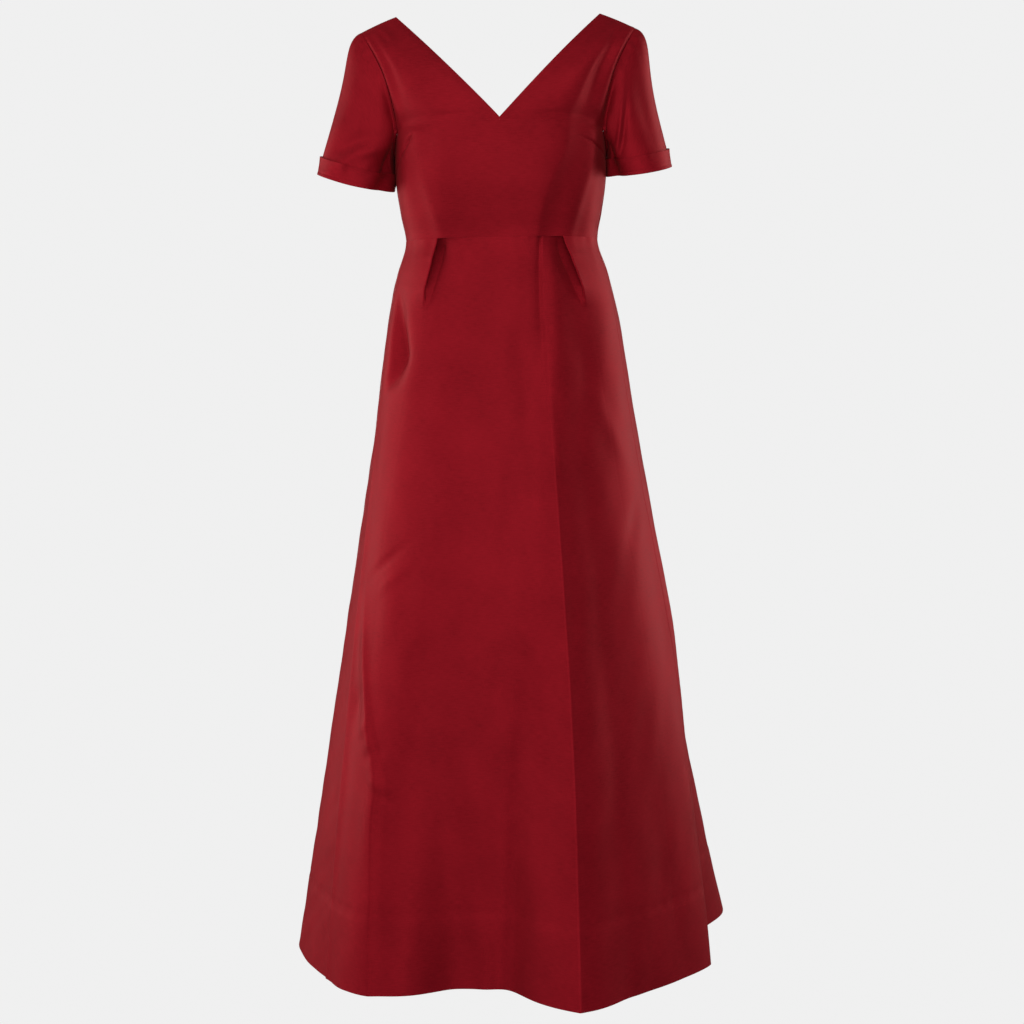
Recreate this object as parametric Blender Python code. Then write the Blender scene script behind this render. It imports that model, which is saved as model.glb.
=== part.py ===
"""Evening gown: a floor-length A-line gown in stiff silk, filled out as when worn, with nobody in it.

Metres, +Z up. The origin is the middle of the shoulder line, the front faces -Y and +X is the
wearer's left. Heights are given as drops below the shoulder line, and directions round the body
as azimuths in degrees: 0 is straight ahead, +90 the +X side, 180 the centre back.
"""

import bmesh
import bpy
import numpy as np

# ---------------------------------------------------------------- driving sizes

CLOTH = 0.0012  # wall thickness of one layer
SEAM_GAP = 0.0003  # between neighbouring pieces
LAYER_GAP = 0.0006  # between the layers of a folded pleat

BUST_SEAM = 0.166  # drops below the shoulder line
UNDERARM = 0.205
WAIST = 0.329
PLEAT_END = 0.4265
HEM = 1.405

NECK_POINT = np.array([0.150, 0.000, 0.000])  # wearer's left side; the right side mirrors it
SHOULDER_POINT = np.array([0.203, 0.004, -0.022])
FRONT_V_DROP = 0.1615
BACK_V_DROP = 0.176
ZIP_END = 0.520

RING_POWER = 2.25  # 2 is an ellipse, more is squarer

# The body of the gown, with no folds: half-widths and depths of its rings.
RINGS = (
    # drop,  side,   front,  back
    (0.140, 0.1560, 0.1090, 0.0980),
    (0.166, 0.1555, 0.1180, 0.0990),
    (0.200, 0.1560, 0.1240, 0.0990),
    (0.245, 0.1555, 0.1210, 0.0970),
    (0.290, 0.1490, 0.1120, 0.0930),
    (0.329, 0.1425, 0.1040, 0.0900),
    (0.380, 0.1570, 0.1130, 0.1050),
    (0.450, 0.1725, 0.1250, 0.1220),
    (0.560, 0.1890, 0.1420, 0.1420),
    (0.900, 0.2470, 0.1960, 0.2050),
    (1.405, 0.3340, 0.2620, 0.3050),
)

# The skirt's crests and troughs: azimuth at the waist and at the hem, reach from the axis at the
# hem, and how far down the skirt (0 waist, 1 hem) the fold begins.
FOLDS = (
    # name,                 waist,    hem,  reach, begins
    ("left side", -95.0, -95.0, 0.336, 0.00),
    ("left seam", -84.0, -67.0, 0.309, 0.00),
    ("left crest", -54.0, -47.0, 0.303, 0.10),
    ("left slope", -42.0, -35.5, 0.2664, 0.35),
    ("left trough", -27.0, -25.4, 0.2136, 0.35),
    ("front trough", -10.0, -12.4, 0.2007, 0.35),
    ("front rise", 8.0, -0.8, 0.2080, 0.30),
    ("ridge foot", 20.0, 8.2, 0.2597, 0.10),
    ("long ridge", 30.0, 17.0, 0.2985, 0.00),
    ("right slope", 42.0, 36.2, 0.2876, 0.00),
    ("right face", 60.0, 55.2, 0.2924, 0.00),
    ("right fold", 76.0, 70.0, 0.3035, 0.00),
    ("right valley", 87.0, 87.0, 0.2770, 0.50),
    ("right rise", 99.0, 101.0, 0.3045, 0.50),
    ("right flare", 111.0, 112.0, 0.3640, 0.30),
    ("right back crest", 124.0, 124.0, 0.3920, 0.10),
    ("right back trough", 146.0, 146.0, 0.3180, 0.25),
    ("back crest right", 163.0, 163.0, 0.3380, 0.10),
    ("centre back", 180.0, 180.0, 0.3080, 0.10),
    ("back crest left", 197.0, 197.0, 0.3400, 0.10),
    ("left back trough", 218.0, 218.0, 0.3020, 0.25),
    ("left back crest", 242.0, 242.0, 0.3540, 0.10),
)

# Lines that run down the front of the skirt: azimuths by drop.
SKIRT_LINES = (
    # drop, left seam, left pleat, ridge, right pleat, right seam
    (0.329, -86.0, -47.0, 29.5, 45.0, 80.0),
    (0.400, -86.0, -49.4, 26.2, 50.9, 77.5),
    (0.450, -85.0, -51.4, 24.8, 55.2, 76.5),
    (0.600, -81.0, -58.0, 23.6, 58.5, 77.0),
    (0.800, -72.5, -59.0, 22.2, 60.0, 78.0),
    (1.000, -68.6, -56.0, 20.8, 60.0, 78.0),
    (1.200, -65.5, -49.0, 19.0, 58.0, 76.0),
    (1.405, -63.5, -46.0, 17.0, 56.0, 70.0),
)
LEFT_SEAM, LEFT_PLEAT, RIDGE, RIGHT_PLEAT, RIGHT_SEAM = range(1, 6)

PLEAT_DEPTH = 0.022  # how far the cloth is turned under at the waist
PLEAT_OPENS = 0.402  # the drop from which the fold unrolls, until it is flat at its end
PLEAT_RADIUS = (CLOTH + LAYER_GAP) / 2  # of the fold, at the middle of the cloth
PLEAT_DIP = 0.009  # the hollow beside a pleat's edge
PLEAT_LIFT = 0.0022  # how far the side cloth stands out over the pleat
RIDGE_HEIGHT = 0.0045
RIDGE_WIDTH = 0.016
HIP_HOLLOW = (-72.0, 0.500, 0.011, 8.0, 0.055)  # azimuth, drop, depth, spread in degrees and drop

SKIRT_ROWS = (
    0.329, 0.342, 0.356, 0.371, 0.386, 0.402, 0.410, 0.4185, 0.4265, 0.452,
    0.510, 0.585, 0.680, 0.790, 0.905, 1.025, 1.140, 1.240, 1.325, 1.405,
)

# The armhole on the wearer's left, in even steps of a turn: from the underarm up the front, over
# the shoulder and down the back.
ARMHOLE = (
    # x,      y,      z
    (0.1556, 0.004, -0.205),
    (0.1505, -0.040, -0.171),
    (0.1560, -0.049, -0.134),
    (0.1690, -0.045, -0.088),
    (0.1890, -0.026, -0.046),
    (0.2030, 0.004, -0.022),
    (0.1930, 0.036, -0.046),
    (0.1740, 0.052, -0.095),
    (0.1600, 0.050, -0.145),
    (0.1545, 0.034, -0.184),
)
CORNER_TURN = 0.1  # where the bust seam ends on the armhole
SHOULDER_TURN = 0.5
SEAM_END_AZIMUTH = 75.0
SEAM_END_DIP = 0.005  # the bust seam drops by this towards the armholes

# The open ends of the sleeves: middle, half-width, half-depth, and how much higher than the
# middle the outer edge and the back edge are.
SLEEVES = {
    # side:   x,      y,      z,     half_w, half_d, outer_rise, back_rise
    "left": (0.2070, 0.004, -0.2305, 0.0460, 0.0620, 0.0065, 0.0090),
    "right": (0.2189, 0.004, -0.2400, 0.0524, 0.0640, 0.0140, 0.0090),
}
CUFF_HEIGHT = 0.026
CAP_BULGE = 0.0105
CAP_PEAK = 0.13  # how far down the sleeve the cap stands out most
ARMHOLE_GAP = 0.0010
UNDERARM_CLEAR = 0.0022  # how much further out the sleeve starts under the arm
CUFF_FLARE = 0.0012  # how far the cuff's top edge stands off the sleeve
SLEEVE_COLUMNS = 20

ZIP_TAPE = 0.012  # half-width of the tape behind the centre-back seam
TAPE_THICK = 0.0008
SLIDER = (0.0052, 0.0014, 0.0090)  # width, thickness and height of the slider's plate
EAR = (0.0010, 0.0034, 0.0034)  # each of the two ears that hold the pull tab's pin
PIN_RADIUS = 0.0006
EYE_HOLE = 0.00085
EYE_RADIUS = 0.0016
TAB = (0.0026, 0.0011, 0.0200)  # width at the eye, thickness and length of the pull tab
TAB_TIP_WIDTH = 0.0048

RED = (0.205, 0.010, 0.016, 1.0)
DARK_RED = (0.160, 0.008, 0.013, 1.0)
ZIP_METAL = (0.30, 0.03, 0.04, 1.0)


# ---------------------------------------------------------------- helpers

def smooth(x, xs, ys):
    """A curve through (xs, ys): cubic pieces whose slope at a point is that of its neighbours."""
    x = np.asarray(x, float)
    xs = np.asarray(xs, float)
    ys = np.asarray(ys, float)
    slope = np.gradient(ys, xs, axis=0)
    i = np.clip(np.searchsorted(xs, x, side="right") - 1, 0, len(xs) - 2)
    step = xs[i + 1] - xs[i]
    t = (x - xs[i]) / step
    if ys.ndim > 1:
        t = t[..., None]
        step = step[..., None]
    blend = t * t * (3 - 2 * t)
    ends = ys[i] * (1 - blend) + ys[i + 1] * blend
    return ends + step * (slope[i] * t * (1 - t) ** 2 - slope[i + 1] * t * t * (1 - t))


def unit(vectors):
    """The same directions at length 1."""
    return vectors / np.linalg.norm(vectors, axis=-1, keepdims=True)


def ring_radius(azimuth, drop):
    """Distance from the axis to the body of the gown: a squared-up ellipse at each drop."""
    table = np.array(RINGS)
    side, front, back = np.moveaxis(smooth(drop, table[:, 0], table[:, 1:]), -1, 0)
    angle = np.radians(azimuth)
    across = np.abs(np.sin(angle)) / side
    ahead = np.abs(np.cos(angle)) / np.where(np.cos(angle) > 0, front, back)
    return (across**RING_POWER + ahead**RING_POWER) ** (-1 / RING_POWER)


def line_azimuth(which, drop):
    """Azimuth of one of the lines of SKIRT_LINES at a drop."""
    table = np.array(SKIRT_LINES)
    return smooth(drop, table[:, 0], table[:, which])


def fold_offset(azimuth, drop):
    """How far the skirt's folds stand out of its plain ring: a smooth closed curve through FOLDS."""
    waist, hem, reach, begins = np.array([row[1:] for row in FOLDS]).T
    down = (drop - WAIST) / (HEM - WAIST)
    places = waist + (hem - waist) * down
    growth = np.clip((down - begins) / (1 - begins), 0, 1) ** 1.35
    heights = (reach - ring_radius(hem, HEM)) * growth
    places = np.concatenate([places - 360, places, places + 360])
    return smooth(azimuth, places, np.tile(heights, 3))


def skirt_radius(azimuth, drop):
    """Distance from the axis to the skirt's outer face, without its pleats."""
    azimuth = np.asarray(azimuth, float)
    radius = ring_radius(azimuth, np.full(azimuth.shape, drop)) + fold_offset(azimuth, drop)
    along = np.radians(azimuth - line_azimuth(RIDGE, drop)) * radius
    down = np.clip((drop - WAIST) / 0.05, 0, 1)
    radius = radius + RIDGE_HEIGHT * down * np.exp(-np.abs(along) / RIDGE_WIDTH)
    where, at_drop, depth, spread, spread_drop = HIP_HOLLOW
    distance = ((azimuth - where) / spread) ** 2 + ((drop - at_drop) / spread_drop) ** 2
    return radius - depth * np.exp(-distance)


def level_points(radius_of, azimuth, drop):
    """Points of a level section and its outward directions, as arrays of (x, y)."""
    def place(angles):
        turn = np.radians(angles)
        return np.stack([np.sin(turn), -np.cos(turn)], -1) * radius_of(angles, drop)[:, None]

    along = place(azimuth + 0.4) - place(azimuth - 0.4)
    outward = unit(np.stack([along[:, 1], -along[:, 0]], -1))
    return place(azimuth), outward


def at_height(points, drop):
    """Level (x, y) points as 3-D points at a drop."""
    return np.column_stack([points, np.full(len(points), -drop)])


def make_cloth(name, outer, inner, colour, closed=False):
    """A closed wall between two grids of points, rows by columns. A closed one joins round."""
    rows, columns = outer.shape[:2]
    index = np.arange(rows * columns).reshape(rows, columns)
    if closed:
        index = np.concatenate([index, index[:, :1]], 1)
    under = index + rows * columns

    def halves(a, b, c, d):
        """Both faces of the wall split along the same diagonal, so they never cross."""
        return np.concatenate([np.stack([a, b, c], -1).reshape(-1, 3),
                               np.stack([a, c, d], -1).reshape(-1, 3)])

    def cells(grid):
        return halves(grid[:-1, :-1], grid[:-1, 1:], grid[1:, 1:], grid[1:, :-1])

    def strip(edge, other):
        return halves(edge[:-1], edge[1:], other[1:], other[:-1])

    faces = [cells(index), cells(under)[:, ::-1]]
    faces += [strip(index[0], under[0]), strip(index[-1], under[-1])]
    if not closed:
        faces += [strip(index[:, 0], under[:, 0]), strip(index[:, -1], under[:, -1])]
    points = np.concatenate([outer.reshape(-1, 3), inner.reshape(-1, 3)])
    mesh = bpy.data.meshes.new(name)
    mesh.from_pydata(points.tolist(), [], np.concatenate(faces).tolist())
    return finish(name, mesh, colour)


def finish(name, mesh, colour, roughness=0.45, metallic=0.0):
    """Turns the faces outwards and makes the mesh a named object with its own material."""
    shape = bmesh.new()
    shape.from_mesh(mesh)
    bmesh.ops.recalc_face_normals(shape, faces=shape.faces)
    shape.to_mesh(mesh)
    shape.free()
    material = bpy.data.materials.new(name)
    material.use_nodes = True
    surface = material.node_tree.nodes["Principled BSDF"]
    surface.inputs["Base Color"].default_value = colour
    surface.inputs["Roughness"].default_value = roughness
    surface.inputs["Metallic"].default_value = metallic
    mesh.materials.append(material)
    thing = bpy.data.objects.new(name, mesh)
    bpy.context.scene.collection.objects.link(thing)
    return thing


def mirrored(grid):
    """The same grid on the wearer's other side."""
    return grid * np.array([-1.0, 1.0, 1.0])


# ---------------------------------------------------------------- the skirt

def gap_angle(azimuth, drop, side):
    """An azimuth moved by half a seam gap, to the side given as +1 or -1."""
    return azimuth + side * np.degrees(SEAM_GAP / 2 / ring_radius(azimuth, drop))


def pleat_dip(drop):
    """Depth of the hollow beside a pleat's edge: deepest a little below the waist."""
    shape = smooth(drop, [WAIST, 0.342, 0.360, 0.380, PLEAT_OPENS, PLEAT_END, HEM],
                   [0.3, 0.85, 1.0, 0.8, 0.45, 0.0, 0.0])
    return PLEAT_DIP * np.clip(shape, 0, 1)


def side_lift(distance, drop):
    """How far the side cloth stands out over a pleat, at a distance from its edge."""
    held = np.clip((PLEAT_END + 0.03 - drop) / 0.03, 0, 1)
    return PLEAT_LIFT * held * np.exp(-distance / 0.03)


def beside_pleat(points, outward, distance, drop):
    """Section points near a pleat: the side cloth lifts over it and the middle cloth dips."""
    lift = side_lift(np.maximum(distance, 0), drop)
    dip = pleat_dip(drop) * np.exp(-np.maximum(-distance, 0) / 0.011)
    return points + outward * np.where(distance > 0, lift, -dip)[:, None]


def pleat_walls(azimuth, drop, side):
    """Outer and inner face of one knife pleat at a drop, from the side cloth to the middle cloth.

    In section the cloth turns under by an angle, runs on for a length and turns back by the same
    angle. Half a turn folds it in three layers; towards the pleat's end the angle falls to none,
    and the two arcs, which keep their lengths, unroll into flat cloth."""
    folded = np.clip((PLEAT_END - drop) / (PLEAT_END - PLEAT_OPENS), 0, 1)
    released = 0.12 * np.clip((PLEAT_END + 0.03 - drop) / 0.03, 0.05, 1)
    angle = np.pi * max(folded, released)
    fullness = np.clip((PLEAT_OPENS - drop) / (PLEAT_OPENS - WAIST), 0, 1)
    run = 0.0006 + PLEAT_DEPTH * fullness**0.8
    radius = PLEAT_RADIUS * np.pi / angle
    turns = np.linspace(0, angle, 3)
    back = turns[::-1]
    first = radius * np.stack([-np.sin(turns), 1 - np.cos(turns)], -1)
    along = np.array([-np.cos(angle), np.sin(angle)])
    start = first[-1] + run * along
    second = start + radius * np.stack([np.sin(back) - np.sin(angle),
                                        np.cos(back) - np.cos(angle)], -1)
    middle = np.concatenate([first, [first[-1] + run / 2 * along], second]) + [0, CLOTH / 2]
    heading = np.concatenate([turns, [angle], back])
    normal = np.stack([-np.sin(heading), -np.cos(heading)], -1)
    at_edge = skirt_radius(np.array([azimuth]), drop)[0]
    faces = []
    for path in (middle + normal * CLOTH / 2, middle - normal * CLOTH / 2):
        places = azimuth + side * np.degrees(path[:, 0] / at_edge)
        points, outward = level_points(skirt_radius, places, drop)
        height = side_lift(np.maximum(path[:, 0], 0), drop) - path[:, 1]
        faces.append(points + outward * height[:, None])
    return faces


def skirt_section(azimuths, drop):
    """Points on the outer face of plain skirt cloth at a drop, and their outward directions."""
    points, outward = level_points(skirt_radius, azimuths, drop)
    return points, outward


def front_section(drop):
    """Outer and inner face of the front panel at a drop, from its left seam to its right seam."""
    left, left_pleat, ridge, right_pleat, right = (
        float(line_azimuth(which, drop)) for which in range(LEFT_SEAM, RIGHT_SEAM + 1)
    )
    clear = np.degrees(0.008 / skirt_radius(np.array([left_pleat]), drop)[0])
    left = gap_angle(left, drop, 1)
    right = gap_angle(right, drop, -1)
    crowd = np.sin(np.linspace(0, np.pi / 2, 7))  # closer together towards a pleat
    stretches = (
        (left + (left_pleat - left) * crowd[:-1], left_pleat, -1),
        (np.linspace(left_pleat + clear, ridge, 9), left_pleat, -1),
        (np.linspace(ridge, right_pleat - clear, 7)[1:], right_pleat, 1),
        (right + (right_pleat - right) * crowd[-2::-1], right_pleat, 1),
    )
    faces = []
    for azimuths, pleat, side in stretches:
        points, outward = skirt_section(azimuths, drop)
        distance = side * np.radians(azimuths - pleat) * skirt_radius(azimuths, drop)
        points = beside_pleat(points, outward, distance, drop)
        faces.append((points, points - outward * CLOTH))
    left_folds = pleat_walls(left_pleat, drop, -1)
    right_folds = [face[::-1] for face in pleat_walls(right_pleat, drop, 1)]
    faces = [faces[0], left_folds, faces[1], faces[2], right_folds, faces[3]]
    return [np.concatenate([pair[i] for pair in faces]) for i in (0, 1)]


def skirt_drops():
    """The drops of the skirt's rows, half a seam gap below the waist seam at the top."""
    drops = np.array(SKIRT_ROWS)
    drops[0] += SEAM_GAP / 2
    return drops


def make_skirt_front():
    sections = [(front_section(drop), drop) for drop in skirt_drops()]
    outer = np.array([at_height(faces[0], drop) for faces, drop in sections])
    inner = np.array([at_height(faces[1], drop) for faces, drop in sections])
    return make_cloth("skirt_front", outer, inner, RED)


def make_skirt_back(name, first, last, columns):
    """One back panel between two azimuths, each given as a function of the drop."""
    outer = []
    inner = []
    for drop in skirt_drops():
        start = gap_angle(first(drop), drop, 1)
        end = gap_angle(last(drop), drop, -1)
        points, outward = skirt_section(np.linspace(start, end, columns), drop)
        outer.append(at_height(points, drop))
        inner.append(at_height(points - outward * CLOTH, drop))
    return make_cloth(name, np.array(outer), np.array(inner), RED)


# ---------------------------------------------------------------- the bodice

def side_azimuth(drop, side):
    """Azimuth of a side seam on the bodice, from the underarm to the waist."""
    at_waist = abs(line_azimuth(RIGHT_SEAM if side > 0 else LEFT_SEAM, WAIST))
    return smooth(drop, [UNDERARM, 0.27, WAIST], [91.5, 0.5 * (91.5 + at_waist), at_waist])


def seam_drop(azimuth):
    """Drop of the bust seam: level in front, a little lower at the armholes."""
    return BUST_SEAM + SEAM_END_DIP * (np.abs(azimuth) / SEAM_END_AZIMUTH) ** 3


def ring_walls(azimuth, drop):
    """Outer face and level outward directions of the body of the gown, for arrays of both."""
    def place(angles):
        turn = np.radians(angles)
        flat = np.stack([np.sin(turn), -np.cos(turn)], -1)
        return flat * ring_radius(angles, drop)[..., None]

    along = place(azimuth + 0.4) - place(azimuth - 0.4)
    outward = unit(np.stack([along[..., 1], -along[..., 0], np.zeros(azimuth.shape)], -1))
    return np.concatenate([place(azimuth), -drop[..., None]], -1), outward


def armhole(turn):
    """Points of the armhole on the wearer's left: a smooth closed loop through ARMHOLE."""
    points = np.array(ARMHOLE)
    count = len(points)
    places = np.arange(-count, 2 * count) / count
    loop = smooth(np.asarray(turn, float) % 1.0, places, np.tile(points, (3, 1)))
    x, y, drop = loop[..., 0], loop[..., 1], -loop[..., 2]
    on_ring = ring_radius(np.degrees(np.arctan2(x, -y)), drop) / np.hypot(x, y)
    onto = 1 + (on_ring - 1) * np.clip((drop - BUST_SEAM) / 0.005, 0, 1)
    return loop * np.stack([onto, onto, np.ones(onto.shape)], -1)


def bend(start, bulge, end, t):
    """A curve from start to end that stands off its chord by bulge halfway."""
    t = t[:, None]
    return start * (1 - t) + end * t + 4 * t * (1 - t) * np.asarray(bulge)


def patch(bottom, top, inner, outer):
    """A Coons patch: the sum of the two ruled surfaces less the one through the four corners."""
    v = np.linspace(0, 1, len(inner))[:, None, None]
    u = np.linspace(0, 1, len(bottom))[None, :, None]
    ruled = (1 - v) * bottom[None] + v * top[None] + (1 - u) * inner[:, None] + u * outer[:, None]
    corners = (1 - v) * ((1 - u) * bottom[0] + u * bottom[-1])
    corners = corners + v * ((1 - u) * top[0] + u * top[-1])
    return ruled - corners


def outward_of(grid, away_from):
    """Unit normals of a grid, on the side away from a point."""
    normals = unit(np.cross(np.gradient(grid, axis=0), np.gradient(grid, axis=1)))
    facing = np.sum(normals * (grid - away_from), -1, keepdims=True)
    return normals * np.sign(facing)


SHOULDER_UP = unit(np.array([NECK_POINT[2] - SHOULDER_POINT[2], 0.0,
                             SHOULDER_POINT[0] - NECK_POINT[0]]))
CHEST = np.array([0.08, 0.0, -0.16])  # inside the body, behind the upper pieces


def front_side_edge(side):
    """Azimuths and drops of the lower front's edge: up the side seam and on to the bust seam."""
    seam = np.linspace(WAIST - SEAM_GAP / 2, UNDERARM, 7)
    up_seam = np.stack([side_azimuth(seam, side), seam], -1)
    hole = armhole(np.linspace(0, CORNER_TURN, 4)[1:])
    around = np.stack([np.degrees(np.arctan2(hole[:, 0], -hole[:, 1])), -hole[:, 2]], -1)
    around[-1] = SEAM_END_AZIMUTH, BUST_SEAM + SEAM_END_DIP
    return np.concatenate([up_seam, around])


def make_front_bodice():
    """Lower front: on the body's rings, from the waist seam to the bust seam."""
    left, right = front_side_edge(1), front_side_edge(-1)
    across = np.linspace(-1, 1, 21)
    edge = np.where(across > 0, left[:, :1], right[:, :1])
    azimuth = across * gap_angle(edge, left[:, 1:], -1)
    rise = (WAIST - left[:, 1:]) / (WAIST - left[-1, 1])
    top = seam_drop(across * SEAM_END_AZIMUTH) + SEAM_GAP / 2
    drop = WAIST - rise * (WAIST - top)
    outer, outward = ring_walls(azimuth, drop)
    return make_cloth("bodice_front_lower", outer, outer - outward * CLOTH, RED)


def shoulder_seam(shift):
    """The shoulder seam from the neck to the armhole, moved by half a gap to the front or back."""
    t = np.linspace(0, 1, 7)
    return bend(NECK_POINT, [0, 0, 0.001], SHOULDER_POINT, t) + [0, shift, 0]


def front_yoke():
    """Outer and inner face of the wearer's left front yoke."""
    azimuth = np.linspace(0, SEAM_END_AZIMUTH, 7)
    azimuth[0] = np.degrees(SEAM_GAP / 2 / 0.118)
    bottom, level = ring_walls(azimuth, seam_drop(azimuth) - SEAM_GAP / 2)
    top = shoulder_seam(-SEAM_GAP / 2)
    v_point = bottom[0] * [1, 1, 0] + [0, 0, -FRONT_V_DROP]
    neckline = bend(v_point, [0, -0.018, 0.001], top[0], np.linspace(0, 1, 8))
    inner = np.concatenate([bottom[:1], neckline])
    outer = armhole(np.linspace(CORNER_TURN, SHOULDER_TURN, 9))
    outer[0], outer[-1] = bottom[-1], top[-1]
    grid = patch(bottom, top, inner, outer)
    outward = outward_of(grid, CHEST)
    outward[0] = level
    outward[1, 0] = level[0]
    outward[-1] = SHOULDER_UP
    return grid, grid - outward * CLOTH


def back_bodice(side):
    """Outer and inner face of a back bodice piece, given on the wearer's left."""
    drops = np.linspace(WAIST - SEAM_GAP / 2, UNDERARM, 6)
    edge = gap_angle(side_azimuth(drops, side), drops, 1)
    middle = gap_angle(180.0, drops, -1)
    across = np.linspace(0, 1, 9)
    azimuth = middle[:, None] + across * (edge - middle)[:, None]
    lower, level = ring_walls(azimuth, drops[:, None] + 0 * azimuth)
    bottom = lower[-1]
    top = shoulder_seam(SEAM_GAP / 2)
    top = smooth(across, np.linspace(0, 1, 7), top)
    v_point = bottom[0] * [1, 1, 0] + [0, 0, -BACK_V_DROP]
    neckline = bend(v_point, [0, 0.010, 0.0], top[0], np.linspace(0, 1, 8))
    inner = np.concatenate([bottom[:1], neckline])
    outer = armhole(np.linspace(1.0, SHOULDER_TURN, 9))
    outer[0], outer[-1] = bottom[-1], top[-1]
    upper = patch(bottom, top, inner, outer)
    outward = outward_of(upper, CHEST)
    outward[0] = level[-1]
    outward[1, 0] = level[-1, 0]
    outward[-1] = SHOULDER_UP
    grid = np.concatenate([lower, upper[1:]])
    outward = np.concatenate([level, outward[1:]])
    return grid, grid - outward * CLOTH


# ---------------------------------------------------------------- the sleeves

def sleeve_surface(which, turn, down):
    """Points of a sleeve on the wearer's left side: turn round it, down from armhole to cuff."""
    x, y, z, half_width, half_depth, outer_rise, back_rise = SLEEVES[which]
    angle = 2 * np.pi * turn
    end = np.stack([
        x - half_width * np.cos(angle),
        y - half_depth * np.sin(angle),
        z - outer_rise * np.cos(angle) - back_rise * np.sin(angle),
    ], -1)
    under = ((1 + np.cos(angle)) / 2) ** 2
    start = armhole(turn)
    start[..., 0] += ARMHOLE_GAP + UNDERARM_CLEAR * under
    cap = ((1 - np.cos(angle)) / 2) ** 2 * CAP_BULGE
    bulge = cap * (down / CAP_PEAK) * np.exp(1 - down / CAP_PEAK)
    flat = start * (1 - down)[..., None] + end * down[..., None]
    return flat + bulge[..., None] * np.array([0.93, 0, 0.37])


def sleeve_grid(which, turns, downs):
    """The sleeve's outer face on a grid, with its outward directions."""
    def surface(turn, down):
        return sleeve_surface(which, turn, down)

    down, turn = np.broadcast_arrays(downs, turns)
    along = surface(turn, down + 0.01) - surface(turn, down - 0.01)
    around = surface(turn + 0.004, down) - surface(turn - 0.004, down)
    return surface(turn, down), unit(np.cross(along, around))


def sleeve(which):
    turns = np.arange(SLEEVE_COLUMNS)[None, :] / SLEEVE_COLUMNS
    downs = np.array([0, 0.05, 0.12, 0.22, 0.40, 0.60, 0.80, 1.0])[:, None]
    outer, outward = sleeve_grid(which, turns, downs)
    return outer, outer - outward * CLOTH


def cuff(which):
    """The turned-up band: the sleeve's own points near its end, moved out."""
    turns = np.arange(SLEEVE_COLUMNS)[None, :] / SLEEVE_COLUMNS
    ends = sleeve_surface(which, turns, np.array([[0.0], [1.0]]) + 0 * turns)
    length = np.linalg.norm(ends[1] - ends[0], axis=-1)
    up = np.array([1.0, 0.66, 0.33, 0.0])[:, None]
    face, outward = sleeve_grid(which, turns, 1 - CUFF_HEIGHT / length * up)
    stand_off = (2 * SEAM_GAP + CUFF_FLARE * up**2)[..., None]
    return face + outward * (stand_off + CLOTH), face + outward * stand_off


# ---------------------------------------------------------------- the zip

def make_zip_tape():
    """The tape and teeth behind the centre-back seam, from the V down over the hips."""
    on_bodice = [BACK_V_DROP + 0.004, UNDERARM, 0.23, 0.255, 0.28, 0.305]
    on_skirt = [drop for drop in SKIRT_ROWS if drop < ZIP_END]
    drops = np.array(on_bodice + on_skirt + [ZIP_END])
    rows = []
    for drop in drops:
        spread = np.degrees(ZIP_TAPE / 0.10)
        azimuths = np.linspace(180 - spread, 180 + spread, 3)
        radius = skirt_radius if drop > WAIST else plain_radius
        points, outward = level_points(radius, azimuths, drop)
        face = points - outward * (CLOTH + 2 * SEAM_GAP)
        rows.append((at_height(face, drop), at_height(face - outward * TAPE_THICK, drop)))
    outer, inner = (np.array([row[i] for row in rows]) for i in (0, 1))
    return make_cloth("zip_tape", outer, inner, DARK_RED)


def plain_radius(azimuth, drop):
    """Distance from the axis to the bodice at one drop."""
    azimuth = np.asarray(azimuth, float)
    return ring_radius(azimuth, np.full(azimuth.shape, drop))


def box(shape, low, high):
    """Adds a box between two corners to a bmesh."""
    made = bmesh.ops.create_cube(shape, size=1.0)["verts"]
    low, high = np.array(low), np.array(high)
    for vertex in made:
        vertex.co = (low + high) / 2 + np.array(vertex.co) * (high - low)


def helper(name, fill):
    """A mesh object that only cuts or joins, hidden from the build and from renders."""
    mesh = bpy.data.meshes.new(name)
    shape = bmesh.new()
    fill(shape)
    shape.to_mesh(mesh)
    shape.free()
    thing = bpy.data.objects.new(name, mesh)
    bpy.context.scene.collection.objects.link(thing)
    thing.hide_render = True
    thing.display_type = "WIRE"
    return thing


def combine(thing, operation, other):
    """Joins or cuts a piece with a helper."""
    modifier = thing.modifiers.new(other.name, "BOOLEAN")
    modifier.operation = operation
    modifier.object = other


def rod(shape, centre, radius, width):
    """Adds a rod along X to a bmesh."""
    made = bmesh.ops.create_cone(shape, cap_ends=True, segments=16, radius1=radius, radius2=radius,
                                 depth=width)["verts"]
    for vertex in made:
        x, y, z = vertex.co
        vertex.co = centre[0] + z, centre[1] + y, centre[2] - x


def pin_centre():
    """Middle of the pin that the pull tab hangs from."""
    face = plain_radius(np.array([180.0]), UNDERARM)[0] + 2 * SEAM_GAP
    return np.array([0.0, face + SLIDER[1] + EYE_RADIUS + SEAM_GAP, -BACK_V_DROP - 0.0065])


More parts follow.
